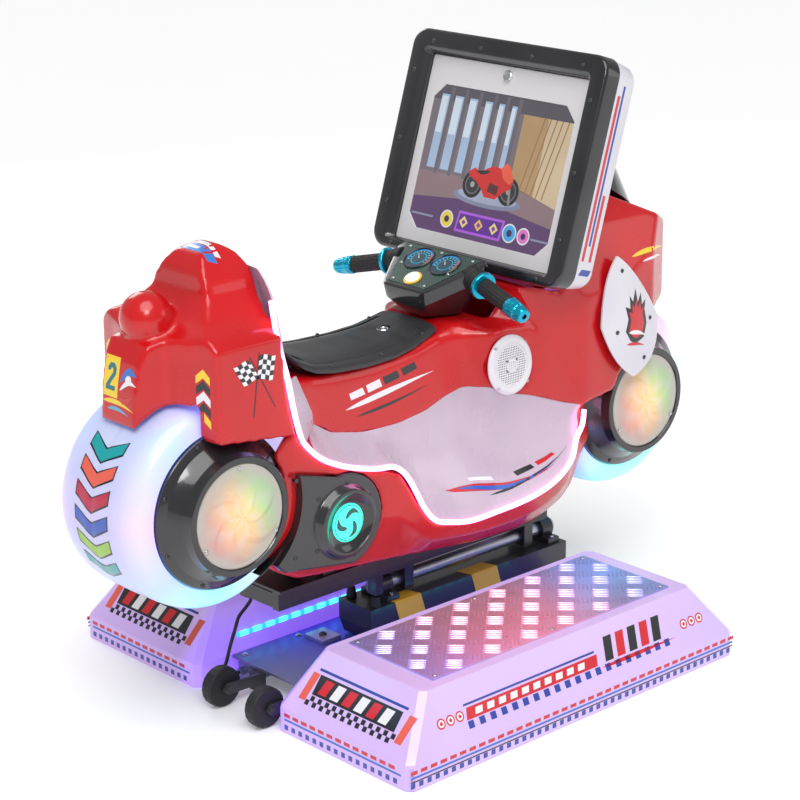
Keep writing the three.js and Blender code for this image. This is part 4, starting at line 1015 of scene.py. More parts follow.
def lens_points(axle, side):
    """A low cone with six curved ridges: the ridge angle runs ahead as the radius grows."""
    wave = np.sin(6 * (lens_a + side * lens_r / 62))
    ridge = 3.4 * np.clip(wave, -0.25, 1) * np.sin(np.pi * np.clip(lens_r / 88, 0, 1)) ** 0.7
    high = 181 - 5.6 * lens_r / 96.4 + ridge * (lens_r < 88)
    high = np.where(lens_r > 93.5, 176.6 - (lens_r - 93.5) * 0.5, np.minimum(high, 184))
    front = np.stack([axle[0] + lens_r * np.cos(lens_a), side * high,
                      axle[1] + lens_r * np.sin(lens_a)], -1)
    base = front[-1:].copy()
    base[..., 1] = side * 163.4
    middle = base.copy()
    middle[..., 0], middle[..., 2] = axle
    return np.concatenate([front, base, middle])


def lens_finish(name, axle):
    """Frosted plastic lit red on one side, yellow in the middle and green on the other."""
    mat = finish(name, (0.36, 0.34, 0.31), 0.3, coat=0.4)
    x, y, z = xyz(mat)
    dx, dz = (x - axle[0] * MM) * 10, (z - axle[1] * MM) * 10
    across = dx * 0.86 + dz * 0.5
    radius = (dx * dx + dz * dz).apply("SQRT")
    angle = dz.apply("ARCTAN2", dx)
    warm = mixed(mat, (across + noise(mat, 22) * 0.3).ramp(-0.62, 0.02), (0.95, 0.06, 0.02),
                 (1.0, 0.42, 0.03))
    glow = mixed(mat, (across + noise(mat, 18) * 0.3).ramp(0.05, 0.85), warm, (0.16, 0.75, 0.06))
    blade = (angle * 6 + radius * 9.3).apply("SINE").ramp(-0.5, 0.9)
    pale = mixed(mat, (blade * 0.32 + radius.ramp(0.72, 0.95) * 0.8).apply("MINIMUM", 1), glow,
                 (0.62, 0.56, 0.48))
    feed(mat, "Emission Color", pale)
    feed(mat, "Emission Strength", (radius.ramp(0.95, 0.1) * 0.62 + 0.22))
    return mat


def ring_of(axle, radius, angles, y):
    """Places at those angles round an axle."""
    return [(axle[0] + radius * math.cos(a), y, axle[1] + radius * math.sin(a)) for a in angles]


FAN_SCREWS = np.radians((90, 210, 330))
HUB_SCREWS = np.radians(np.arange(22.5, 360, 45))
for wheel, axle, hues, phase in (("rear", REAR_AXLE, REAR_HUES, 0.0),
                                 ("front", FRONT_AXLE, FRONT_HUES, 0.4)):
    tyre_glow = tyre_finish(f"{wheel} tyre glow", axle, hues, phase)
    piece(f"{wheel}_tyre_skin", *turned(tyre_section, axle, 1, 180), "bike", tyre_glow, "tyre_glow",
          [f"{wheel}_tyre"])
    lens_glow = lens_finish(f"{wheel} lens glow", axle)
    for side_name, side in SIDES:
        piece(f"{wheel}_hub_skin_{side_name}", *turned(HUB_PROFILE, axle, side, 96), "bike",
              hub_black, "hub_black",
              [f"{wheel}_hub_{side_name}"])
        lens_grid = lens_points(axle, side)
        piece(f"{wheel}_lens_{side_name}", lens_grid, grid_faces(len(lens_grid), 144,
                                                                 wrap_columns=True), "bike",
              lens_glow,
              "fan_lens", [f"{wheel}_fan_{side_name}"])
        screws(f"{wheel}_fan_screws_{side_name}", ring_of(axle, 91, FAN_SCREWS, side * 177.2),
               (0, side, 0), 4, "bike", bright_screw, "fan_lens")
        screws(f"{wheel}_hub_screws_{side_name}", ring_of(axle, 140.5, HUB_SCREWS, side * 129.6),
               (0, side, 0), 4.2, "bike", screw_steel,
               "hub_black")
print("tyre section", len(tyre_section), "points")

# %% [markdown]
# ## Markings
#
# The markings are printed film. Each is a set of flat shapes in millimetres, cut into
# small faces and laid on a surface, with a colour stored on every face. On moulded
# skins the points are dropped along a straight line until they meet the skin. All of
# them are plain racing patterns: chequers, arrows, stripes and flames, with no words.

# %% Film that follows a surface
FILM_TOP, FILM_SINK, LAYER_LIFT = 0.35, 0.25, 0.22
ink = painted(finish("printed film", (1, 1, 1), 0.3, coat=0.4), "Base Color")
uneven(ink, 40, 0.12, 0.24)
RED, DARK, PALE = (0.62, 0.01, 0.02), (0.012, 0.012, 0.016), (0.82, 0.81, 0.84)
NAVY, TEAL, CORAL = (0.02, 0.05, 0.35), (0.0, 0.34, 0.36), (0.8, 0.12, 0.08)
LIME, YELLOW = (0.30, 0.55, 0.04), (0.9, 0.62, 0.02)


def filled(outline, square):
    """A flat outline as points and triangles, cut along a square grid so that it can bend."""
    work = bmesh.new()
    work.faces.new([work.verts.new((u, v, 0)) for u, v in outline])
    low, high = np.min(outline, 0), np.max(outline, 0)
    for axis in (0, 1):
        normal = (1 - axis, axis, 0)
        for line in np.arange(math.ceil(low[axis] / square), high[axis] / square) * square:
            cells = work.verts[:] + work.edges[:] + work.faces[:]
            at = (line * (1 - axis), line * axis, 0)
            bmesh.ops.bisect_plane(work, geom=cells, dist=1e-4, plane_co=at, plane_no=normal)
    bmesh.ops.triangulate(work, faces=work.faces[:])
    work.verts.index_update()
    points = np.array([v.co[:2] for v in work.verts])
    faces = np.array([[v.index for v in f.verts] for f in work.faces])
    work.free()
    return points, faces


def film(name, shapes, surface, body, slot, square=12.0, mat=ink):
    """Shapes (outline, colour, layer) on surface(u, v) -> (points, outward ways), as one piece."""
    points, faces, colours, shift = [], [], [], 0
    for outline, colour, layer in shapes:
        flat, skin = filled(np.asarray(outline, float), square)
        at, out = surface(flat[:, 0], flat[:, 1])
        front, back = at + out * (FILM_TOP + LAYER_LIFT * layer), at - out * FILM_SINK
        edges = np.vstack([skin[:, [0, 1]], skin[:, [1, 2]], skin[:, [2, 0]]])
        _, index, count = np.unique(np.sort(edges, 1), axis=0, return_index=True,
                                    return_counts=True)
        rim = edges[index[count == 1]]
        n = len(flat)
        walls = np.vstack([np.column_stack([rim[:, 1], rim[:, 0], rim[:, 0] + n]),
                           np.column_stack([rim[:, 1], rim[:, 0] + n, rim[:, 1] + n])])
        whole = np.vstack([skin, skin[:, ::-1] + n, walls])
        points.append(np.vstack([front, back]))
        faces.append(whole + shift)
        colours.append(np.tile((*colour, 1.0), (len(whole), 1)))
        shift += 2 * n
    mesh = bpy.data.meshes.new(name)
    mesh.from_pydata(np.vstack(points) * MM, [], np.vstack(faces))
    tint = mesh.attributes.new("paint", "FLOAT_COLOR", "FACE")
    tint.data.foreach_set("color", np.vstack(colours).ravel())
    return place(name, mesh, body, mat, slot, crease=40)


def landing(skin, start, way):
    """A surface: points start(u, v) dropped along way until they meet the skin."""
    tree = BVHTree.FromObject(skin, bpy.context.evaluated_depsgraph_get())
    way = unit(way)

    def surface(u, v):
        found = []
        for point in start(u, v):
            hit = tree.ray_cast(point * MM, way)[0] or tree.find_nearest(point * MM)[0]
            found.append(np.array(hit) / MM)
        return np.array(found), np.tile(-way, (len(found), 1))

    return surface


def from_side(skin, sign, x, z, y=260.0):
    """A surface seen square from one side: u along X and v up from (x, z), dropped on the skin."""
    def start(u, v):
        """Points well outside the skin."""
        return np.column_stack([x + u, np.full(len(u), sign * y), z + v])

    return landing(skin, start, (0, -sign, 0))


def from_behind(skin, sign, x, y, z):
    """A surface seen from behind: u outwards and v up from (y, z), dropped on the skin."""
    def start(u, v):
        """Points well behind the skin."""
        return np.column_stack([np.full(len(u), x), sign * (y + u), z + v])

    return landing(skin, start, (1, 0, 0))


def flat_surface(origin, along, upward):
    """A surface: origin + u along + v upward, both made unit length."""
    origin, along, upward = np.asarray(origin, float), unit(along), unit(upward)
    out = np.cross(along, upward)

    def surface(u, v):
        return origin + u[:, None] * along + v[:, None] * upward, np.tile(out, (len(u), 1))

    return surface


def slanted(u0, u1, v0, v1, lean=0.0):
    """A parallelogram whose top edge is shifted by lean."""
    return [(u0, v0), (u1, v0), (u1 + lean, v1), (u0 + lean, v1)]


def chequer(u0, v0, columns, rows, size, colour, layer=0, lean=0.0):
    """Every other square of a board, with its columns leaning."""
    cells = [(u0 + i * size + lean * j, v0 + j * size)
             for i in range(columns) for j in range(rows) if (i + j) % 2 == 0]
    return [(slanted(u, u + size, v, v + size, lean), colour, layer) for u, v in cells]


def disc(u, v, radius, sides=24):
    """A round outline."""
    a = np.linspace(0, 2 * np.pi, sides, endpoint=False)
    return list(zip(u + radius * np.cos(a), v + radius * np.sin(a)))


def swoosh(u0, v0, u1, v1, bow, width):
    """A curved stroke that starts as a point, swells, and ends as a point."""
    t = np.linspace(0, 1, 13)
    u, v = u0 + (u1 - u0) * t, v0 + (v1 - v0) * t + bow * np.sin(np.pi * t)
    half = width / 2 * np.sin(np.pi * t ** 0.7)
    return [*zip(u, v + half), *list(zip(u, v - half))[-2:0:-1]]


# %% [markdown]
# ## Chevrons on the tyres
#
# Six arrow-shaped chevrons, tips down, run down the rear of the rear tyre in teal,
# coral, crimson, blue, yellow-green and teal again. They bend with the tyre, so they
# are laid out by angle and by distance across. The front tyre has the same set.

# %% Chevrons
def tyre_surface(axle, first_angle, step):
    """u is the distance across the tyre, v the distance down its crown from the first angle."""
    order = np.argsort(tyre_outer[:, 1])
    across, radius = tyre_outer[order, 1], tyre_outer[order, 0]

    def surface(u, v):
        r = np.interp(u, across, radius)
        slope = (np.interp(u + 1, across, radius) - np.interp(u - 1, across, radius)) / 2
        a = first_angle + step * v / 196
        out = unit(np.stack([np.cos(a), -slope, np.sin(a)], -1))
        return np.stack([axle[0] + r * np.cos(a), u, axle[1] + r * np.sin(a)], -1), out

    return surface


CHEVRON_HUES = [TEAL, CORAL, (0.5, 0.0, 0.05), (0.02, 0.09, 0.5), LIME, TEAL]
chevrons = []
for number, hue in enumerate(CHEVRON_HUES):
    down = number * 46
    for grow, colour, layer in ((3.0, DARK, 0), (0.0, hue, 1)):
        chevrons.append(([(-46 - grow, -12 + down - grow), (0, 12 + down - grow * 1.2),
                          (46 + grow, -12 + down - grow),
                          (46 + grow, 10 + down + grow), (0, 36 + down + grow * 1.2),
                          (-46 - grow, 10 + down + grow)],
                         colour, layer))
film("rear_tyre_chevrons", chevrons, tyre_surface(REAR_AXLE, math.radians(139), 1), "bike",
     "tyre_glow", 9.0)
film("front_tyre_chevrons", chevrons, tyre_surface(FRONT_AXLE, math.radians(41), -1), "bike",
     "tyre_glow", 9.0)

# %% [markdown]
# ## Markings on the bodywork
#
# Crossed chequered flags lie on the tail's flanks, angled bars on its rear corners, and
# a yellow plate with a single figure on its flap. The waist has a stripe, the bowl a
# red and blue swoosh, and the white cowl a flame.

# %% Body markings
for side_name, sign in SIDES:
    flank = from_side(skins["tail"], sign, -484, 700)
    flags = []
    for way, top, foot in ((-1, (-14, 54), (42, -50)), (1, (8, 58), (-8, -58))):
        top, foot = np.array(top, float), np.array(foot, float)
        flags.append(([top + (-1.2, 0), foot + (-1.2, 0), foot + (1.2, 0), top + (1.2, 0)], DARK,
                      0))
        corner, along = top + (way, -6), unit((way * 36, -5)) * 36
        down = unit(foot - top + (-way * 6, 0)) * 44
        for i in range(4):
            for j in range(5):
                cell = [corner + along * a / 4 + down * b / 5 for a,
                        b in ((i, j), (i + 1, j), (i + 1, j + 1), (i, j + 1))]
                cell = [(u, v + 2.5 * math.sin(1.4 * (i + (k in (1, 2))))) for k,
                        (u, v) in enumerate(cell)]
                flags.append((cell, DARK if (i + j) % 2 == 0 else PALE, 1))
    film(f"flags_{side_name}", flags, flank, "bike", "red_plastic", 14.0)
    rear = from_behind(skins["tail"], sign, -720.0, 137, 690)
    bars_mark = []
    for step, colour in enumerate((YELLOW, DARK, PALE, DARK, YELLOW)):
        v0 = 26 - step * 20
        bars_mark.append(([(-16, v0 + 12), (0, v0 + 26), (14, v0 + 12), (14, v0 - 2), (0, v0 + 10),
                           (-16, v0 - 2)], colour, 0))
    film(f"corner_bars_{side_name}", bars_mark, rear, "bike", "red_plastic", 14.0)

flap = from_behind(skins["tail"], -1, -760.0, 0, 700)
TWO = [(-34, 22), (-34, 28), (-28, 36), (-16, 36), (-10, 29), (-10, 18), (-26, -4), (-10, -4),
       (-10, -12), (-36, -12),
       (-36, -4), (-19, 20), (-19, 26), (-24, 28), (-27, 22)]
flap_mark = [
    ([(-44, 48), (-2, 48), (-2, -24), (-44, -24)], YELLOW, 0), (TWO, (0.0, 0.16, 0.2), 1),
    (swoosh(2, 6, 48, 22, 14, 16), (0.02, 0.16, 0.55), 0), (swoosh(4, -8, 48, 6, 10, 10), PALE, 1),
    (swoosh(2, -22, 46, -10, -8, 12), RED, 2), (disc(26, 14, 8), PALE, 2),
    (swoosh(-44, -34, 44, -40, 6, 9), YELLOW, 0), (swoosh(-30, -46, 30, -50, 5, 7), (0.1, 0.4, 0.6),
                                                   0),
]
film("flap_plate", flap_mark, flap, "bike", "red_plastic", 12.0)


def above_roof(u, v):
    """Points well above the hump's roof."""
    return np.column_stack([-476 + v, -u, np.full(len(u), 1000.0)])


roof = landing(skins["tail"], above_roof, (0, 0, -1))
roof_mark = [
    (slanted(-44, 30, -14, 4, 6), (0.04, 0.2, 0.6), 0), (slanted(-30, 44, 6, 16, 4), PALE, 0),
    (slanted(-20, 10, -8, -2, 4), PALE, 1),
    (slanted(34, 48, -14, 4, 6), (0.04, 0.2, 0.6), 0),
]
film("roof_stripe", roof_mark, roof, "bike", "red_plastic", 10.0)

waist_mark = [
    (swoosh(-112, -12, 118, 16, 0, 11), PALE, 0), (swoosh(-86, -30, 100, -8, -4, 6), DARK, 0),
    ([(-96, 4), (-60, 8), (-66, 22), (-100, 17)], PALE, 0), ([(-52, 9), (-16, 14), (-22, 29),
                                                              (-57, 24)], PALE, 0),
    ([(-8, 15), (30, 21), (24, 36), (-14, 30)], DARK, 0), ([(40, 22), (76, 29), (70, 43), (34, 37)],
                                                           DARK, 0),
]
bowl_mark = [
    (swoosh(-160, 26, 120, -6, -16, 20), RED, 0), (swoosh(-130, 20, 130, 6, -24, 12),
                                                   (0.03, 0.12, 0.55), 1),
    (swoosh(-60, -22, 150, 18, -8, 9), DARK, 1), ([(20, 10), (66, 18), (58, 34), (12, 26)], DARK,
                                                  0),
    ([(76, 20), (120, 30), (112, 45), (68, 36)], RED, 0), ([(-90, 24), (-40, 14), (-46, 26),
                                                            (-96, 34)], PALE, 2),
]
flame = [(-4, -60), (22, -52), (34, -24), (30, 4), (38, 22), (22, 14), (24, 38), (8, 22), (6, 50),
         (-8, 26), (-16, 40),
         (-18, 14), (-32, 20), (-26, -6), (-34, -30), (-20, -52)]
for side_name, sign in SIDES:
    waist = from_side(skins["body"], sign, -112, 592, 240.0)
    film(f"waist_stripe_{side_name}", waist_mark, waist, "bike", "red_plastic", 14.0)

    def bowl(u, v, s=sign):
        """The lower half of the side panel: u along it, v up across it."""
        points = panel_points(150 + u, 0.20 + v / 330)
        return points * (1, s, 1), np.tile((0.0, s * 0.8, 0.6), (len(u), 1))

    film(f"bowl_swoosh_{side_name}", bowl_mark, bowl, "bike", "white_glow", 12.0)
print("tail and body markings laid")

# %% [markdown]
# ## Step platforms
#
# The platforms are lit from inside, so the plastic is lavender, with a violet or blue
# cast towards the ends. A band of markings runs along the slopes and round the foot.

# %% Platform markings
STEP_REAR, STEP_FRONT, STEP_IN, STEP_OUT, BELT = -420, 465, 119.7, 487.3, 49.6
end_mark = [
    (slanted(-112, 112, 46, 86, 0), DARK, 0), *chequer(-120, 24, 24, 2, 10, DARK, 0),
    *[(slanted(-100 + 33 * i, -78 + 33 * i, 51, 81, 8), (RED, PALE)[i % 2], 1) for i in range(6)],
    (slanted(-140, -122, 30, 86, 8), CORAL, 0), (slanted(122, 140, 30, 86, 8), CORAL, 0),
    (slanted(-120, 120, 92, 97, 0), NAVY, 0),
]
side_mark = [
    (slanted(-285, 60, 40, 62, 6), RED, 0), *chequer(-285, 24, 40, 1, 14, NAVY, 0),
    *[(slanted(-262 + 30 * i, -244 + 30 * i, 45, 57, 4), PALE, 1) for i in range(10)],
    *[(slanted(84 + 34 * i, 106 + 34 * i, 42, 88, 10), (DARK, RED)[i % 2], 0) for i in range(5)],
    (swoosh(70, 34, 280, 34, 0, 8), RED, 0), (slanted(-285, 60, 66, 70, 2), NAVY, 0),
]
for at in (-345, -322, -299, 312, 335, 358):
    side_mark += [(disc(at, 52, 10), RED, 0), (disc(at, 52, 7.2), PALE, 1),
                  (disc(at, 52, 3.5), RED, 2)]
belt_mark = [
    *[(slanted(u, u + 16, 34, 41), RED, 0) for u in range(-440, 430, 24)],
    (slanted(-440, 438, 26, 30), (0.03, 0.14, 0.6), 0),
    *chequer(-440, 8, 88, 1, 10, NAVY, 0), (slanted(-440, 438, 19, 21.5), DARK, 0),
]
end_belt = [
    *[(slanted(u, u + 16, 34, 41), RED, 0) for u in range(-160, 150, 24)],
    (slanted(-160, 160, 26, 30), (0.03, 0.14, 0.6), 0),
    *chequer(-160, 8, 32, 1, 10, NAVY, 0),
]
MID_Y = (STEP_IN + STEP_OUT) / 2
for side_name, sign in SIDES:
    for end_name, x, lean, turn in (("rear", STEP_REAR, 79.9, -1), ("front", STEP_FRONT, -79.9, 1)):
        along = (0, turn, 0)
        slope = flat_surface((x, sign * MID_Y, BELT), along, (lean, 0, 105.3))
        film(f"platform_{end_name}_film_{side_name}", end_mark, slope, "base", "platform_glow",
             400.0)
        foot = flat_surface((x, sign * MID_Y, 0), along, (0, 0, 1))
        film(f"platform_{end_name}_belt_{side_name}", end_belt, foot, "base", "platform_glow",
             400.0)
    middle = (STEP_REAR + STEP_FRONT) / 2
    slope = flat_surface((middle, sign * STEP_OUT, BELT), (-sign, 0, 0), (0, -sign * 49.7, 105.3))
    film(f"platform_side_film_{side_name}", side_mark, slope, "base", "platform_glow", 400.0)
    foot = flat_surface((middle, sign * STEP_OUT, 0), (-sign, 0, 0), (0, 0, 1))
    film(f"platform_belt_{side_name}", belt_mark, foot, "base", "platform_glow", 400.0)

# %% [markdown]
# ## Tread plates
#
# Each step has a five-bar tread plate of bright metal. Its colour, violet at the rear,
# pink in the middle and blue at the front, and its faint glow are painted light of the
# glowing platforms. Its bars are real raised lozenges, five to a block, and neighbouring
# blocks are turned a quarter. Each lozenge is a low hexagonal bar of few faces, because
# there are several hundred.

# %% Tread bars
TREAD = (-294, 347, 184, 414)
TREAD_TOP = 158.2
# Painted light of the glowing platforms: the colour runs from violet at the rear through pink to
# blue at the front, and the metal gives off a faint glow of it.
tread_metal = finish("tread plate", (0.62, 0.58, 0.66), 0.26, metal=0.65)
tread_x = xyz(tread_metal)[0]
lit = mixed(tread_metal, tread_x.ramp(-0.30, -0.05), (0.50, 0.42, 0.86), (0.86, 0.44, 0.58))
lit = mixed(tread_metal, tread_x.ramp(0.06, 0.32), lit, (0.36, 0.38, 0.78))
feed(tread_metal, "Base Color", lit)
uneven(tread_metal, 24, 0.2, 0.2, 4)
feed(tread_metal, "Emission Color", lit)
feed(tread_metal, "Emission Strength", noise(tread_metal, 5) * 0.12)
BLOCK, BAR_PITCH, BAR_LONG, BAR_WIDE, BAR_HIGH = 45.8, 8.4, 36, 4.6, 1.3
columns, rows = int((TREAD[1] - TREAD[0]) / BLOCK), int((TREAD[3] - TREAD[2]) / BLOCK)
lozenge = np.array([(-0.5, 0), (-0.32, -0.5), (0.32, -0.5), (0.5, 0), (0.32, 0.5), (-0.32, 0.5)])
bars_at = []
for i in range(columns):
    for j in range(rows):
        centre = np.array([TREAD[0] + (i + 0.5) * (TREAD[1] - TREAD[0]) / columns,
                           TREAD[2] + (j + 0.5) * (TREAD[3] - TREAD[2]) / rows])
        tilt = math.radians(45 if (i + j) % 2 else -45)
        way = np.array([math.cos(tilt), math.sin(tilt)])
        across = np.array([-math.sin(tilt), math.cos(tilt)])
        for k in range(-2, 3):
            middle = centre + across * k * BAR_PITCH
            long, short = lozenge[:, :1] * way, lozenge[:, 1:] * across
            shape = middle + long * BAR_LONG + short * BAR_WIDE
            top = middle + long * (BAR_LONG - 4) + short * 1.6
            bars_at.append(np.vstack([np.column_stack([shape, np.full(6, TREAD_TOP - 0.6)]),
                                      np.column_stack([top, np.full(6, TREAD_TOP + BAR_HIGH)])]))
sides = [(a, (a + 1) % 6, (a + 1) % 6 + 6, a + 6) for a in range(6)]
ends = [(5, 4, 3, 2), (5, 2, 1, 0), (6, 7, 8, 9), (6, 9, 10, 11)]
bar_points = np.vstack(bars_at)
bar_faces = np.vstack([np.array(sides + ends) + 12 * n for n in range(len(bars_at))])
PLATE_SCREWS = [(x, y, TREAD_TOP) for x in (-280, 26, 333) for y in (194, 404)]
for side_name, sign in SIDES:
    piece(f"tread_bars_{side_name}", on_side(bar_points, sign), bar_faces, "base", tread_metal,
          "tread_plate", crease=20)
    screws(f"tread_screws_{side_name}", [(x, sign * y, z) for x, y, z in PLATE_SCREWS], (0, 0, 1),
           4.5, "base",
           bright_screw, "tread_plate")
print(len(bars_at), "tread bars on each plate")

# %% [markdown]
# ## Screen housing
#
# A 19-inch monitor looks out through a sheet-metal door with a chamfered opening. Round
# it stands a black frame with a sloping inner edge, and behind it a white shell. The
# whole housing leans 17 degrees away from the rider. It is drawn upright in its own
# frame first, and then one turn and one move put it in place.

# %% Screen frame, shell and door
SCREEN_AT, SCREEN_TILT = np.array([258.9, 0, 963.1]), 0.302


def tilted(points):
    """From the screen's own frame to the row frame: turn about Y by the tilt, then move."""
    p = np.asarray(points, float).reshape(-1, 3)
    c, s = math.cos(SCREEN_TILT), math.sin(SCREEN_TILT)
    return np.column_stack([p[:, 0] * c + p[:, 2] * s, p[:, 1],
                            p[:, 2] * c - p[:, 0] * s]) + SCREEN_AT


def tilted_way(direction):
    """A direction of the screen's own frame in the row frame."""
    return (tilted([direction]) - tilted([(0, 0, 0)]))[0]


def rounded_box(half, low, high, radius):
    """A loop of 36 points (y, z) round a rectangle with quarter-circle corners."""
    loop = []
    for y, z, first in ((half, high, 0), (-half, high, 90), (-half, low, 180), (half, low, 270)):
        a = np.radians(np.linspace(first, first + 90, 9))
        centre = np.array([y - math.copysign(radius, y), z - radius if z == high else z + radius])
        loop.append(centre + radius * np.column_stack([np.cos(a), np.sin(a)]))
    return np.vstack(loop)


def layers(rows):
    """Rows of (loop, x) joined in order, the last to the first: points and faces."""
    points = np.stack([np.column_stack([np.full(len(loop), x), loop]) for loop, x in rows])
    return points, grid_faces(len(rows), points.shape[1], wrap_rows=True, wrap_columns=True)


def frame_out(grow):
    """The frame's outer edge, moved inwards."""
    return rounded_box(267 - grow, -214 + grow, 237 - grow, max(36 - grow, 4))


def across_frame(share):
    """A loop that share of the way from the outer edge to the inner one."""
    return frame_out(0) * (1 - share) + frame_in * share


frame_in = rounded_box(218.45, -189.6, 189.6, 5)
frame_rows = [
    (frame_out(0), 18), (frame_out(0), -14), (frame_out(0.8), -17.8), (frame_out(3), -20.8),
    (frame_out(6), -22),
    (across_frame(0.5), -22), (across_frame(0.74), -22), (across_frame(0.78), -21.2),
    (across_frame(0.97), -9), (frame_in, -7.5),
    (frame_in, 18),
]
frame_points, frame_faces = layers(frame_rows)
piece("screen_frame_skin", tilted(frame_points), frame_faces, "bike", gloss_black, "gloss_black",
      ["screen_frame"])
FRAME_SCREWS = [(y, z) for z in (213, -202) for y in (-205, -70, 70, 205)]
FRAME_SCREWS += [(y, z) for y in (-243, 243) for z in (-120, 10, 150)]
screen_way = tilted_way((-1, 0, 0))
screws("screen_frame_screws", tilted([(-22, y, z) for y, z in FRAME_SCREWS]), screen_way, 4.2,
       "bike", screw_steel, "gloss_black")


def shell_at(grow, x):
    """The shell's outline at one depth, moved inwards, with its depth."""
    return rounded_box(265 - grow, -212 + grow, 235 - grow, max(34 - grow * 0.4, 8)), x


dot = np.tile([(0.0, 11.5)], (36, 1))
shell_rows = [
    shell_at(0, 18.4), shell_at(0.4, 24), shell_at(5.5, 66), shell_at(9, 75), shell_at(16, 83),
    shell_at(26, 88.6), shell_at(34, 90),
    (dot, 90), (dot, 85.5), shell_at(34, 85.5), shell_at(20, 79), shell_at(12, 68),
    shell_at(4.5, 18.4),
]
shell_points, shell_faces = layers(shell_rows)
housing_white = moulded_finish("white housing plastic", (0.74, 0.72, 0.76), (0.68, 0.66, 0.73), 0.3,
                               0.3)
piece("screen_shell_skin", tilted(shell_points), shell_faces, "bike", housing_white, "white_glow",
      ["screen_shell"])

door_sheet = finish("door sheet", (0.74, 0.73, 0.74), 0.36, metal=0.1)
uneven(door_sheet, 5, 0.16, 0.28, 3, (1, 1, 30))
OPENING_HALF, OPENING_LOW, OPENING_HIGH, CHAMFER = 195, -161, 133, 28
door_out = rounded_box(217.45, -188.6, 188.6, 5)
window = np.array([
    (OPENING_HALF, OPENING_HIGH - CHAMFER), (OPENING_HALF - CHAMFER, OPENING_HIGH),
    (-OPENING_HALF + CHAMFER, OPENING_HIGH),
    (-OPENING_HALF, OPENING_HIGH - CHAMFER), (-OPENING_HALF, OPENING_LOW + CHAMFER),
    (-OPENING_HALF + CHAMFER, OPENING_LOW),
    (OPENING_HALF - CHAMFER, OPENING_LOW), (OPENING_HALF, OPENING_LOW + CHAMFER),
], float)
door_in = np.vstack([window[2 * k] * (1 - t) + window[2 * k + 1] * t
                     for k in range(4) for t in np.linspace(0, 1, 9)])
door_points, door_faces = layers([(door_out, 2.5), (door_out, 0.2), (door_out * 0.999, 0),
                                  (door_in * 1.003, 0), (door_in, 0.5),
                                  (door_in, 2.5)])
door_mesh = mesh_of("door", tilted(door_points), door_faces)
LOCK_Z = 169.5


def lock_at(x):
    """A point on the lock's axis."""
    return tilted([(x, 0, LOCK_Z)])[0]


def tilted_block(*ends):
    """A block drawn in the screen's own frame."""
    points, faces = block(*ends)
    return tilted(points), faces


lock_hole = mesh_of("door lock hole", *rod(lock_at(-10), lock_at(10), 9.4))
place("screen_door_skin", carved("screen door", door_mesh, [lock_hole]), "service_door", door_sheet,
      "door_sheet", ["screen_door"],
      crease=25)
DOOR_LOCK = [(0, -17), (8.9, -17), (8.9, 0.5), (10.9, 0.5), (10.9, 6), (9.9, 7), (6.6, 7), (6.2, 6),
             (3.2, 6), (3, 6.6), (0, 6.6)]
lock_solid = together([
    lathe(DOOR_LOCK, lock_at(0), screen_way),
    tilted_block(12.5, 15.5, -6, 6, LOCK_Z - 8, LOCK_Z + 14),
    tilted_block(-7.4, -6.2, -0.9, 0.9, LOCK_Z - 4.5, LOCK_Z + 4.5),
])
piece("door_lock_skin", *lock_solid, "lock", chrome, "lock_chrome", ["door_lock"])

# %% [markdown]
# ## The picture
#
# The screen shows a scene in flat coloured shapes: a red motorcycle on a round stage in
# a hall with tall windows, and a row of plain glowing badges along the bottom. It gives
# off its own light, as a screen does.

# %% Screen picture
picture_ink = painted(finish("lit screen", (0.02, 0.02, 0.02), 0.2, coat=0.6), "Emission Color")
feed(picture_ink, "Emission Strength", noise(picture_ink, 9, 3) * 0.3 + 0.62)
uneven(picture_ink, 20, 0.05, 0.12)
picture_surface = flat_surface(lock_at(2.72), (0, -1, 0), tilted_way((0, 0, 1)))
top, low = OPENING_HIGH - LOCK_Z + 3, OPENING_LOW - LOCK_Z - 3
hall = [
    (slanted(-198, 198, low, top), (0.20, 0.17, 0.20), 0), (slanted(-198, 198, top - 34, top),
                                                            (0.10, 0.09, 0.12), 1),
    ([(60, top - 34), (198, top - 34), (198, low + 96), (60, low + 128)], (0.52, 0.33, 0.16), 1),
    ([(128, top - 34), (198, top - 34), (198, low + 96), (128, low + 112)], (0.72, 0.56, 0.36), 2),
    ([(-198, low), (198, low), (198, low + 96), (60, low + 124), (-198, low + 120)],
     (0.30, 0.20, 0.22), 1),
    ([(-198, low), (198, low), (198, low + 58), (0, low + 84), (-198, low + 66)],
     (0.12, 0.05, 0.17), 2),
]
for u, wide in ((-176, 22), (-138, 24), (-96, 22), (-52, 20), (-14, 16), (22, 14)):
    hall += [(slanted(u, u + wide, low + 128, top - 22, 3), (0.42, 0.56, 0.78), 2),
             (slanted(u + 2, u + wide - 2, low + 200, top - 26, 1), (0.74, 0.84, 0.98), 3),
             (slanted(u + wide, u + wide + 9, low + 118, top - 6, 5), (0.16, 0.14, 0.17), 3)]
for step in range(5):
    hall.append((slanted(150 - 16 * step, 153 - 16 * step, low + 110, top - 34, 30),
                 (0.36, 0.2, 0.08), 3))
stage_top = low + 88
stage_turn = np.linspace(0, 2 * np.pi, 32, endpoint=False)
for reach, rise, tall, colour, layer in ((94, 0, 17, (0.25, 0.28, 0.42), 4),
                                         (82, 4, 13, (0.42, 0.46, 0.62), 5)):
    oval = [(8 + reach * math.cos(a), stage_top + rise + tall * math.sin(a)) for a in stage_turn]
    hall.append((oval, colour, layer))
BIKE_BODY = [(-54, 148), (-40, 158), (-22, 150), (-8, 160), (12, 168), (30, 166), (44, 178),
             (56, 172), (70, 146), (66, 130),
             (48, 120), (30, 104), (0, 104), (-12, 118), (-30, 132), (-52, 140)]
BIKE_SEAT = [(-36, 152), (-20, 146), (-4, 150), (4, 158), (-10, 156)]
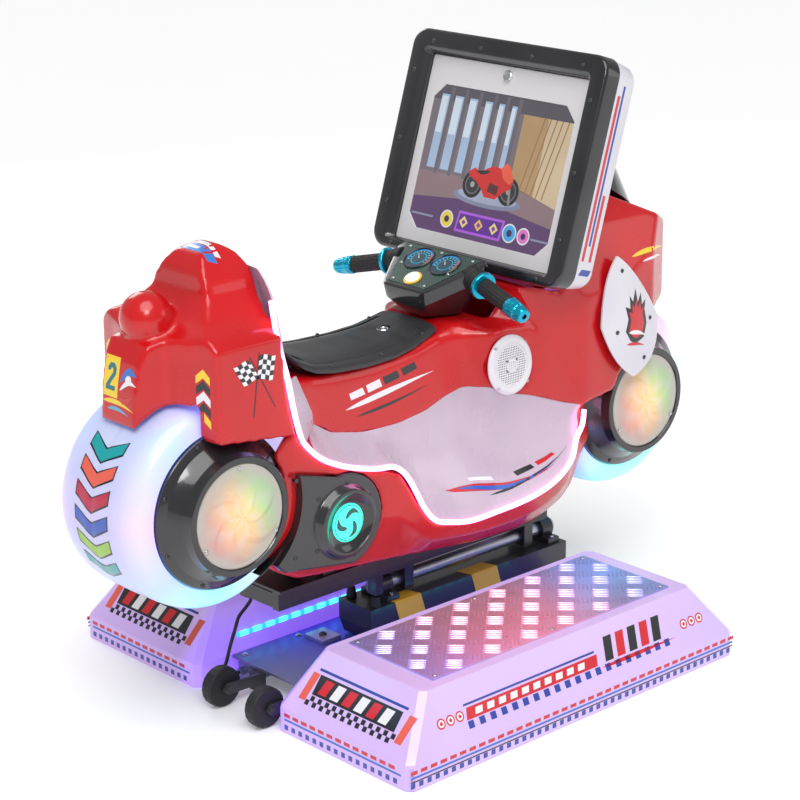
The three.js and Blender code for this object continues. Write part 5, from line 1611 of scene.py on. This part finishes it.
BIKE_FAIRING = [(30, 166), (44, 178), (56, 172), (70, 146), (60, 138), (42, 146)]
for wheel_u, radius in ((-38, 27), (62, 28)):
    v = low + 112
    hall += [(disc(wheel_u, v, radius), (0.01, 0.01, 0.012), 6),
             (disc(wheel_u, v, radius - 7), (0.16, 0.16, 0.18), 7),
             (disc(wheel_u, v, radius - 10), (0.03, 0.03, 0.035), 8),
             (disc(wheel_u, v, 6), (0.4, 0.4, 0.42), 9)]
BIKE_ENGINE = [(4, 116), (32, 112), (34, 130), (8, 134)]
BIKE_FORK = [(62, 128), (67, 130), (72, 100), (66, 98)]
for outline, colour, layer in (
        (BIKE_BODY, (0.72, 0.02, 0.015), 10), (BIKE_SEAT, (0.02, 0.02, 0.02), 11),
    (BIKE_FAIRING, (0.95, 0.12, 0.06), 11),
        (BIKE_ENGINE, (0.1, 0.02, 0.02), 11), (BIKE_FORK, (0.3, 0.3, 0.32), 11)):
    hall.append(([(u, v + low - 12) for u, v in outline], colour, layer))
for u, colour, size in ((-88, (0.95, 0.72, 0.06), 15), (88, (0.05, 0.45, 0.9), 16),
                        (126, (0.85, 0.2, 0.65), 14)):
    hall += [(disc(u, low + 34, size + 3), (0.9, 0.9, 0.95), 6),
             (disc(u, low + 34, size), colour, 7),
             (disc(u, low + 34, size * 0.45), (0.04, 0.02, 0.12), 8)]
hall += [(slanted(-62, 66, low + 14, low + 56, 5), (0.5, 0.12, 0.85), 6),
         (slanted(-57, 61, low + 19, low + 51, 4), (0.13, 0.02, 0.34), 7)]
for at, colour in ((-40, (0.95, 0.85, 0.2)), (2, (0.95, 0.6, 0.1)), (44, (0.95, 0.85, 0.2))):
    hall += [([(at - 12, low + 35), (at, low + 23), (at + 12, low + 35), (at, low + 47)], colour,
              8),
             ([(at - 6, low + 35), (at, low + 29), (at + 6, low + 35), (at, low + 41)],
              (0.3, 0.05, 0.5), 9)]
hall += [(slanted(-190, -128, low + 30, low + 34, 1), (0.3, 0.32, 0.5), 6),
         (slanted(146, 192, low + 30, low + 34, 1), (0.3, 0.32, 0.5), 6)]
PICTURE_STEP = 0.02


def picture_place(u, v):
    """The picture's plane, just behind the door sheet."""
    at, out = picture_surface(u, v)
    return at, out * PICTURE_STEP / LAYER_LIFT


film("screen_picture", hall, picture_place, "service_door", "monitor_black", 500.0, picture_ink)

side_of_shell = flat_surface(tilted([(42, -262.2, 0)])[0], tilted_way((1, 0, 0)),
                             tilted_way((0, 0, 1)))
stripe_mark = [
    (slanted(-14, -6, -150, 170, 0), RED, 0), (slanted(-1, 5, -120, 190, 0), NAVY, 0),
    (slanted(10, 18, -150, -20, 0), RED, 0), (slanted(-14, 18, -178, -166, 8), NAVY, 0),
]
for side_name, sign in SIDES:
    def stripe_start(u, v, s=sign):
        """Points well outside the shell's side."""
        at = side_of_shell(u, v)[0]
        return np.column_stack([at[:, 0], np.full(len(u), s * 320.0), at[:, 2]])
    film(f"screen_shell_stripes_{side_name}", stripe_mark,
         landing(bpy.data.objects["screen_shell_skin"], stripe_start, (0, -sign, 0)),
         "bike", "white_glow", 20.0)
print("picture of", len(hall), "shapes")

# %% [markdown]
# ## Console and handlebar
#
# The console is a black pod with a sloping dark green face. It carries two round
# gauges and a white start button in a yellow ring. It turns with the handlebar. The
# left and right grips have knurled rubber sleeves between cyan anodised metal ends.

# %% Console
FACE_SLOPE = 0.466
FACE_TILT = math.atan(FACE_SLOPE)
face_way = np.array([-math.sin(FACE_TILT), 0, math.cos(FACE_TILT)])


def face_height(x):
    """The height of the console's face, which rises forwards."""
    return 750 + (np.asarray(x, float) - 20) * FACE_SLOPE


def pod_ring(rear, front, rear_half, front_half, drop, shrink=0.0, level=None):
    """The pod's eight-cornered outline, rounded and shrunk: below the face, or at one level."""
    nip = min(10, rear_half / 4)
    half = [(rear, rear_half - nip), (rear + nip * 0.6, rear_half), (front - nip * 1.6, front_half),
            (front, front_half - nip)]
    ring = rounded(np.array([*half, *[(x, -y) for x, y in reversed(half)]], float), 9, 4)
    middle = np.array([(rear + front) / 2, 0])
    ring = middle + (ring - middle) * (1 - shrink)
    height = face_height(ring[:, 0]) - drop if level is None else np.full(len(ring), level)
    return np.column_stack([ring, height])


TOP = (20, 138, 63, 123)
pod_rows = [
    pod_ring(52, 130, 36, 62, 0, level=691), pod_ring(28, 137, 56, 110, 38),
    pod_ring(24, 138, 60, 118, 30),
    *[pod_ring(*TOP, drop, shrink) for drop, shrink in ((4, 0), (1.4, 0.008), (0.2, 0.03),
                                                        (0, 0.06))],
]
first_middle, last_middle = (np.tile(pod_rows[k].mean(0), (len(pod_rows[k]), 1)) for k in (0, -1))
pod_points = np.stack([first_middle, *pod_rows, last_middle])
grip_from = np.array([106.0, 136, 763])
grip_way = unit(np.array([84.0, 271, 731]) - grip_from)
BAR_HOLE = 11.3


def on_bar(distance):
    """A point on the left bar's axis, measured outwards from the boot."""
    return grip_from + grip_way * distance


BOOT = [(0, -44), (25, -44), (24.8, -30), (23.6, -28), (24.2, -26), (23.2, -20), (22.2, -18),
        (22.8, -16), (22, -9), (21, -8), (0, -8)]
pod_solid = [(pod_points, grid_faces(len(pod_points), pod_points.shape[1], wrap_columns=True)),
             rod((95, 0, 640), (95, 0, 693), 20)]
console_mesh = mesh_of("console", *together(pod_solid))


def button_at(depth):
    """A point on the start button's axis."""
    return np.array([48, 0, face_height(48)]) + face_way * depth


button_hole = mesh_of("button hole", *rod(button_at(-16), button_at(20), 15.5))
bar_hole = [mesh_of(f"bar hole {s}", *rod(on_bar(-60) * (1, s, 1), on_bar(20) * (1, s, 1),
                                          BAR_HOLE)) for s in (1, -1)]
bar_hole.append(mesh_of("cross bar hole", *rod(on_bar(-60), on_bar(-60) * (1, -1, 1), BAR_HOLE)))
place("console_skin", carved("console", console_mesh, [button_hole, *bar_hole]), "steering",
      gloss_black, "gloss_black",
      ["console_body"], crease=28)
boots_mesh = mesh_of("boots", *together([lathe(BOOT, grip_from * (1, s, 1),
                                               grip_way * (1, s, 1)) for s in (1, -1)]))
rubber = finish("moulded rubber", (0.014, 0.014, 0.015), 0.6)
uneven(rubber, 220, 0.3, 0.45, 3)
boot_hole = [mesh_of(f"boot hole {s}", *rod(on_bar(-70) * (1, s, 1), on_bar(20) * (1, s, 1),
                                            BAR_HOLE)) for s in (1, -1)]
place("handlebar_boots", carved("boots", boots_mesh, boot_hole), "steering", rubber, "gloss_black",
      crease=28)

face_green = finish("console face film", (0.01, 0.05, 0.035), 0.25, coat=0.5)
gx, gy, _ = xyz(face_green)
mesh_lines = ((gx * 900).apply("SINE") * (gy * 900).apply("SINE")).ramp(0.2, 0.6)
feed(face_green, "Base Color", mixed(face_green, mesh_lines, (0.008, 0.03, 0.022),
                                     (0.02, 0.11, 0.08)))
uneven(face_green, 80, 0.2, 0.2)


def on_face(u, v):
    """The console's face: u to the rider's right, v forward up the slope."""
    along = np.array([math.cos(FACE_TILT), 0, math.sin(FACE_TILT)])
    middle, rightward = np.array([79.0, 0, face_height(79)]), np.array([0, -1.0, 0])
    at = middle + v[:, None] * along + u[:, None] * rightward
    return at, np.tile(face_way, (len(u), 1))


face_plate = [(-52, -55), (52, -55), (104, 54), (96, 58), (-96, 58), (-104, 54)]
gauge_light = painted(finish("gauge light", (0.01, 0.03, 0.05), 0.2, coat=0.6), "Emission Color")
feed(gauge_light, "Emission Strength", noise(gauge_light, 30) * 0.4 + 0.5)
edge_loop, _ = on_face(*np.array(face_plate, float).T)
plate_middle = np.tile(edge_loop.mean(0), (6, 1))
plate_under, plate_over = face_way * 0.6, face_way * 0.9
plate_rows = np.stack([plate_middle - plate_under, edge_loop - plate_under, edge_loop + plate_over,
                       plate_middle + plate_over])
plate_mesh = mesh_of("face plate", plate_rows, grid_faces(4, 6, wrap_columns=True))
face_hole = mesh_of("face hole", *rod(button_at(-16), button_at(20), 19.3))
place("console_face", carved("face plate", plate_mesh, [face_hole]), "steering", face_green,
      "gloss_black", crease=25)
GAUGE_V = 22
DIAL_ARCS = ((200, -20, 25, 29, (0.0, 0.35, 0.85), 1), (40, -20, 25.5, 28.5, (0.9, 0.05, 0.03), 2))


def spoke(middle, angle, start, end, width):
    """A thin bar of a dial that points outwards."""
    way = np.array([math.cos(angle), math.sin(angle)])
    side = np.array([-way[1], way[0]]) * width / 2
    hub = np.array([middle, GAUGE_V])
    inner, outer = hub + way * start, hub + way * end
    return [inner - side, outer - side, outer + side, inner + side]


gauges = []
for middle in (-37, 37):
    gauges.append((disc(middle, GAUGE_V, 31, 40), (0.0, 0.012, 0.03), 0))
    for start, end, r0, r1, colour, layer in DIAL_ARCS:
        a = np.radians(np.linspace(start, end, 30))
        outer_arc = [*zip(middle + r1 * np.cos(a), GAUGE_V + r1 * np.sin(a))]
        inner_arc = [*zip(middle + r0 * np.cos(a[::-1]), GAUGE_V + r0 * np.sin(a[::-1]))]
        gauges.append((outer_arc + inner_arc, colour, layer))
    gauges.append((disc(middle, GAUGE_V, 17, 36), (0.0, 0.55, 0.75), 1))
    gauges.append((disc(middle, GAUGE_V, 15, 36), (0.0, 0.03, 0.06), 3))
    for tick in np.radians(np.linspace(200, -20, 12)):
        gauges.append((spoke(middle, tick, 19.5, 24, 1.4), (0.2, 0.85, 0.95), 3))
    needle = np.array([math.cos(2.3), math.sin(2.3)])
    side = np.array([-needle[1], needle[0]]) * 1.2
    hub = np.array([middle, GAUGE_V])
    gauges.append(([hub - side, hub + needle * 21, hub + side], (0.95, 0.9, 0.7), 4))


def gauge_at(u, v):
    """The top of the face plate."""
    at, out = on_face(u, v)
    return at + plate_over, out


film("gauges", gauges, gauge_at, "steering", "gloss_black", 500.0, gauge_light)


def ring_solid(profile, start, way):
    """A closed profile turned about a line, as points and faces."""
    return lathe(profile, start, way, 48)[0], grid_faces(48, len(profile), wrap_rows=True,
                                                         wrap_columns=True)


BEZEL = [(30.5, 0.6), (33.6, 0.6), (33.6, 2.6), (32.6, 3.6), (31.4, 3.6), (30.5, 2.8)]
bezels = []
for middle in (-37.0, 37.0):
    centre = on_face(np.array([middle]), np.array([22.0]))[0][0]
    bezels.append(ring_solid(BEZEL, centre, face_way))
piece("gauge_bezels", *together(bezels), "steering", gloss_black, "gloss_black")
yellow_ring = finish("yellow ring", (0.8, 0.42, 0.02), 0.3, coat=0.3, glow=(1.0, 0.6, 0.05),
                     power=0.25)
uneven(yellow_ring, 90, 0.15, 0.22)
RING = [(15.7, -2), (19.0, -2), (19.0, 2.2), (18.2, 3.2), (16.6, 3.4), (15.7, 2.6)]
piece("button_ring", *ring_solid(RING, button_at(0), face_way), "steering", yellow_ring,
      "button_white")
button_white = finish("button plastic", (0.85, 0.83, 0.76), 0.25, coat=0.5, glow=(1.0, 0.93, 0.7),
                      power=0.35)
uneven(button_white, 90, 0.12, 0.2)
BUTTON = [(0, -12), (15, -12), (15, 4.6), (14.2, 6.1), (12, 6.8), (9, 6.5), (0, 6.0)]
piece("start_button_cap", *lathe(BUTTON, button_at(0), face_way, 48), "button", button_white,
      "button_white", ["start_button"])
FACE_SCREWS = np.array([(-44, -47), (44, -47), (-88, 50), (88, 50), (0, 52), (-66, 0), (66, 0)],
                       float)
screws("console_screws", gauge_at(*FACE_SCREWS.T)[0], face_way, 3.4, "steering", bright_screw,
       "gloss_black")

# %% [markdown]
# ## Grips
#
# Each grip is turned about the bar: a flange, a knurled rubber sleeve and a slotted
# metal end. The knurl is a row of rounded rings, each cut by lengthwise grooves.

# %% Grips
cyan_metal = finish("cyan anodised metal", (0.0, 0.42, 0.62), 0.24, metal=0.75, coat=0.3)
uneven(cyan_metal, 150, 0.12, 0.2, 3)
sleeve_at = np.linspace(3.5, 87.5, 170)
sleeve_r = 16.6 + 0.9 * np.abs(np.sin(np.pi * (sleeve_at - 3.5) / 7.0)) ** 0.6
SLEEVE = [(11.4, 3.5), *zip(sleeve_r, sleeve_at), (11.4, 87.5)]
FLANGE = [(11.4, -6), (25.6, -6), (27, -4.6), (27, 1.4), (25.8, 3), (17.4, 3.4), (11.4, 3.4)]
END = [(11.4, 88), (17.5, 88), (18.8, 89.6), (19, 92), (18.2, 94), (18.9, 96), (18.4, 104),
       (17.4, 106), (17.6, 116), (16, 118),
       (16, 121), (16.6, 123), (14.4, 132), (13, 135), (10, 136), (0, 136), (0.4, 124.6),
       (11.4, 124.6)]


def knurled(profile, start, way, sides, grooves, depth):
    """A turned profile whose radius also dips in lengthwise grooves round it."""
    points, faces = lathe(profile, start, way, sides)
    points = points.reshape(sides, len(profile), 3)
    way = unit(way)
    offset = points - start
    straight = np.sum(offset * way, -1, keepdims=True) * way
    a = np.linspace(0, 2 * np.pi, sides, endpoint=False)
    grooved = (np.cos(grooves * a) > 0.3)[:, None, None]
    outside = (np.linalg.norm(offset - straight, axis=-1) > 12)[..., None]
    dip = 1 - depth * grooved * outside
    return start + straight + (offset - straight) * dip, grid_faces(sides, len(profile), True, True)


for side_name, sign, body_name in (("left", 1, "steering"), ("right", -1, "throttle")):
    start, way = grip_from * (1, sign, 1), grip_way * (1, sign, 1)
    piece(f"grip_sleeve_{side_name}", *knurled(SLEEVE, start, way, 96, 16, 0.05), body_name, rubber,
          "rubber", [f"grip_{side_name}"])
    metal_parts = together([knurled(FLANGE, start, way, 72, 1, 0.0),
                            knurled(END, start, way, 96, 8, 0.06)])
    piece(f"grip_metal_{side_name}", *metal_parts, body_name, cyan_metal, "rubber")
print("console and grips done")

# %% [markdown]
# ## Cowls and windshield
#
# The white cowl on each side of the fairing is a thin curved blade between four
# corners, with a crown in its middle and a flare at its front. The windshield is half
# of a leaning cone in dark smoked plastic.

# %% Cowls and windshield
COWL = np.array([(425, 176, 800), (563, 184, 630), (461, 200, 500), (360, 192, 636)], float)
cu, cv = np.meshgrid(np.linspace(-1, 1, 46), np.linspace(-1, 1, 46), indexing="ij")
cowl_u = (cu * np.sqrt(1 - 0.30 * cv**2) + 1) / 2
cowl_v = (cv * np.sqrt(1 - 0.30 * cu**2) + 1) / 2


def cowl_at(u, v):
    """Between the four corners, plus a crown and a flare that both vanish at the edges."""
    u, v = u[..., None], v[..., None]
    point = (COWL[0] * (1 - u) + COWL[1] * u) * (1 - v) + (COWL[3] * (1 - u) + COWL[2] * u) * v
    crown = 12 * np.sin(np.pi * u) * np.sin(np.pi * v)
    flare = 16 * np.sin(np.pi * v) * u**2
    return point + np.concatenate([flare, crown + 1, -0.6 * flare], -1)


cowl_face = cowl_at(cowl_u, cowl_v) + (0, 5.6, 0)
cowl_solid = sheet_of(cowl_face, 4.2, (0, 1, 0))
for side_name, sign in SIDES:
    cowl_skin = piece(f"front_cowl_skin_{side_name}", on_side(cowl_solid[0], sign), cowl_solid[1],
                      "bike", housing_white, "white_glow",
                      [f"front_cowl_{side_name}"])
    cowl_land = from_side(cowl_skin, sign, 470, 650)
    flame_mark = [([(u * 1.0, v * 1.0) for u, v in flame], DARK, 0),
                  ([(u * 0.72, v * 0.72 - 6) for u, v in flame], RED, 1),
                  (swoosh(-26, -34, 30, -50, 4, 9), PALE, 2),
                  (swoosh(-30, -58, 26, -70, 3, 7), RED, 0)]
    film(f"cowl_flame_{side_name}", flame_mark, cowl_land, "bike", "white_glow", 10.0)
    spots = cowl_land(np.array([-56.0, -30, 48, 26]), np.array([-28.0, 92, -18, -96]))[0]
    screws(f"cowl_screws_{side_name}", spots, (0, sign, 0), 4.4, "bike", screw_steel, "white_glow")
    upper = from_side(skins["body"], sign, 560, 766)
    streak = [(swoosh(-70, -8, 70, -18, 10, 10), YELLOW, 0), (swoosh(-40, -22, 62, -34, 6, 6), PALE,
                                                              0)]
    film(f"fairing_streak_{side_name}", streak, upper, "bike", "red_plastic", 12.0)

smoke = finish("smoked plastic", (0.012, 0.012, 0.014), 0.16, coat=0.6)
uneven(smoke, 40, 0.08, 0.12)
wu, wv = np.meshgrid(np.linspace(0, 1, 30), np.linspace(0, 1, 60), indexing="ij")
shield_angle = np.pi * (0.03 + 0.94 * wv)
shield_reach, shield_width = 150 - 58 * wu, 112 - 28 * wu
shield_x = 478 - 76 * wu + shield_reach * np.sin(shield_angle)
shield_face = np.stack([shield_x, shield_width * np.cos(shield_angle),
                        886 - 0.52 * (shield_x - 492) + 178 * wu], -1)
piece("windshield_skin", *sheet_of(shield_face, 3.8, (1, 0, 0)), "bike", smoke, "smoked_shield",
      ["windshield"])

# %% [markdown]
# ## Steel and rubber parts
#
# The base frame, beam, bearings, motor, linkage, casters and chassis stay as the
# engineering solids they are. Each gets a small bevel, because real edges catch the
# light, and a finish with uneven gloss. The frame and the wheels are lit by the lamps
# in the platforms, so the base plate is tinted blue.

# %% Dress the parts that stay
black_paint = moulded_finish("black paint", (0.016, 0.016, 0.018), (0.028, 0.028, 0.03), 0.36, 0.25,
                             peel=0.0001)
steel = finish("satin steel", (0.5, 0.51, 0.55), 0.34, metal=0.9)
uneven(steel, 30, 0.3, 0.2, 5, (1, 8, 1))
base_steel = finish("lit base plate", (0.30, 0.31, 0.42), 0.38, metal=0.75)
base_x = xyz(base_steel)[0]
feed(base_steel, "Base Color", mixed(base_steel, base_x.ramp(-0.35, -0.1), (0.24, 0.25, 0.40),
                                     (0.16, 0.14, 0.72)))
uneven(base_steel, 18, 0.3, 0.25, 5)
platform_plastic = finish("lit lavender plastic", (0.58, 0.44, 0.72), 0.3, coat=0.35)
plat_x, plat_y, _ = xyz(platform_plastic)
cast = mixed(platform_plastic, plat_x.ramp(-0.45, -0.30), (0.46, 0.20, 0.95), (0.58, 0.40, 0.85))
cast = mixed(platform_plastic, plat_x.ramp(0.28, 0.47), cast, (0.34, 0.30, 0.98))
inner_side = plat_y.apply("ABSOLUTE").ramp(0.19, 0.13)
cast = mixed(platform_plastic, inner_side, cast, (0.26, 0.10, 1.0))
feed(platform_plastic, "Emission Color", cast)
feed(platform_plastic, "Emission Strength",
     inner_side * 0.5 + noise(platform_plastic, 4) * 0.1 + 0.16)
uneven(platform_plastic, 12, 0.14, 0.24, 3)
board_green = finish("circuit board", (0.01, 0.12, 0.05), 0.4, coat=0.3)
feed(board_green, "Base Color", mixed(board_green, noise(board_green, 90, 1).ramp(0.5, 0.56),
                                      (0.008, 0.10, 0.04), (0.02, 0.22, 0.09)))
dark_bezel = finish("monitor case", (0.02, 0.02, 0.022), 0.3)
uneven(dark_bezel, 60, 0.2, 0.3)


def dress(node, mat, bevel):
    """A CAD node shown as it is, with welded points, a small bevel and a finish."""
    obj = nodes[node]
    weld = obj.modifiers.new("weld", "WELD")
    weld.merge_threshold = 1e-5
    edge = obj.modifiers.new("edge", "BEVEL")
    edge.width, edge.segments, edge.limit_method = bevel * MM, 2, "ANGLE"
    edge.angle_limit = math.radians(35)
    edge.harden_normals = True
    obj.data.materials.clear()
    obj.data.materials.append(mat)


FINISHES = {
    black_paint: ["pedestal_beam", "bearing_rear", "bearing_front", "gear_motor", "chassis",
                  "caster_bracket_left",
                  "caster_bracket_right"],
    steel: ["motor_crank", "connecting_rod", "pivot_shaft", "handlebar"],
    rubber: ["rubber_stop_left", "rubber_stop_right", "caster_wheel_left", "caster_wheel_right"],
    base_steel: ["base_frame"], platform_plastic: ["platform_left", "platform_right"],
    tread_metal: ["tread_plate_left", "tread_plate_right"], board_green: ["game_board"],
    dark_bezel: ["monitor"],
}
BEVELS = {"platform_left": 3.0, "platform_right": 3.0, "caster_wheel_left": 2.0,
          "caster_wheel_right": 2.0,
          "base_frame": 0.8, "pedestal_beam": 1.2, "gear_motor": 1.2}
for mat, names in FINISHES.items():
    for node in names:
        dress(node, mat, BEVELS.get(node, 0.7))
print(sum(map(len, FINISHES.values())), "CAD parts dressed")

# %% [markdown]
# ## Hazard bands, lamps and small hardware
#
# Two yellow bands are folded over the top and side of the black beam. A cyan lamp strip
# runs along the inner wall of each platform, and bolts hold the base plate.

# %% Small parts of the base
hazard = finish("hazard yellow", (0.75, 0.42, 0.03), 0.4)
uneven(hazard, 50, 0.2, 0.3)
BEAM_HALF, BEAM_LOW, BEAM_TOP, BAND_LEAN = 48, 55, 128, 26
for number, (x0, x1) in enumerate(((-62, 8), (150, 222))):
    for side_name, sign in SIDES:
        path = np.array([(14, BEAM_TOP), (BEAM_HALF, BEAM_TOP), (BEAM_HALF, BEAM_LOW + 22)], float)
        path = rounded(path, 2.0, 4, closed=False)
        out = unit(np.column_stack([np.gradient(path[:, 1]) * -1, np.gradient(path[:, 0])]))
        run = np.concatenate([[0], np.cumsum(np.linalg.norm(np.diff(path, axis=0), axis=1))])
        shift = BAND_LEAN * run / run[-1]
        band = np.stack([
            np.column_stack([x + shift, sign * (path[:, 0] + out[:, 0] * lift),
                             path[:, 1] + out[:, 1] * lift])
            for x, lift in ((x0, 0.9), (x1, 0.9), (x1, 0.1), (x0, 0.1))
        ])
        caps = [(0, len(path), 2 * len(path), 3 * len(path)),
                tuple(len(path) * k + len(path) - 1 for k in (3, 2, 1, 0))]
        faces = np.vstack([grid_faces(4, len(path), wrap_rows=True), caps])
        piece(f"hazard_band_{side_name}_{number}", band, faces, "base", hazard, "black_steel")

led_light = finish("cyan lamp strip", (0.05, 0.4, 0.5), 0.3, glow=(0.05, 0.72, 1.0), power=3.2)
led_x = xyz(led_light)[0]
feed(led_light, "Emission Strength", (led_x * 188).apply("SINE").ramp(-0.9, 0.3) * 2.4 + 0.8)
for side_name, sign in SIDES:
    wall = STEP_IN + 43.3 * (80 - BELT) / 105.3
    piece(f"led_strip_{side_name}", *block(-310, 350, sign * (wall - 3.2), sign * (wall + 0.6), 75,
                                           84), "base", led_light, "neon")
PLATE_BOLTS = [(x, y, 50) for x in (-318, -180, 60, 300, 420) for y in (-98, 98)]
screws("base_bolts", PLATE_BOLTS, (0, 0, 1), 7, "base", bright_screw, "bare_steel", 6)
piece("base_step_plate", *block(-176, -126, 30, 84, 50.2, 57), "base", steel, "bare_steel")
screws("base_step_bolt", [(-151, 57, 57)], (0, 0, 1), 8, "base", screw_steel, "bare_steel", 6)
screws("bearing_bolts", [(x, y, 140.2) for x in (-47, 410) for y in (-33, 33)], (0, 0, 1), 5.5,
       "base", bright_screw, "black_steel", 6)
seat_screws = [(x, s * (np.interp(x, *zip(*SEAT_HALF)) - 10), np.interp(x, *zip(*SEAT_TOP)) + 0.4)
               for x in (-250, -120, 0) for s in (-1, 1)]
screws("seat_screws", seat_screws, (0, 0, 1), 3.6, "bike", screw_steel, "seat_black")
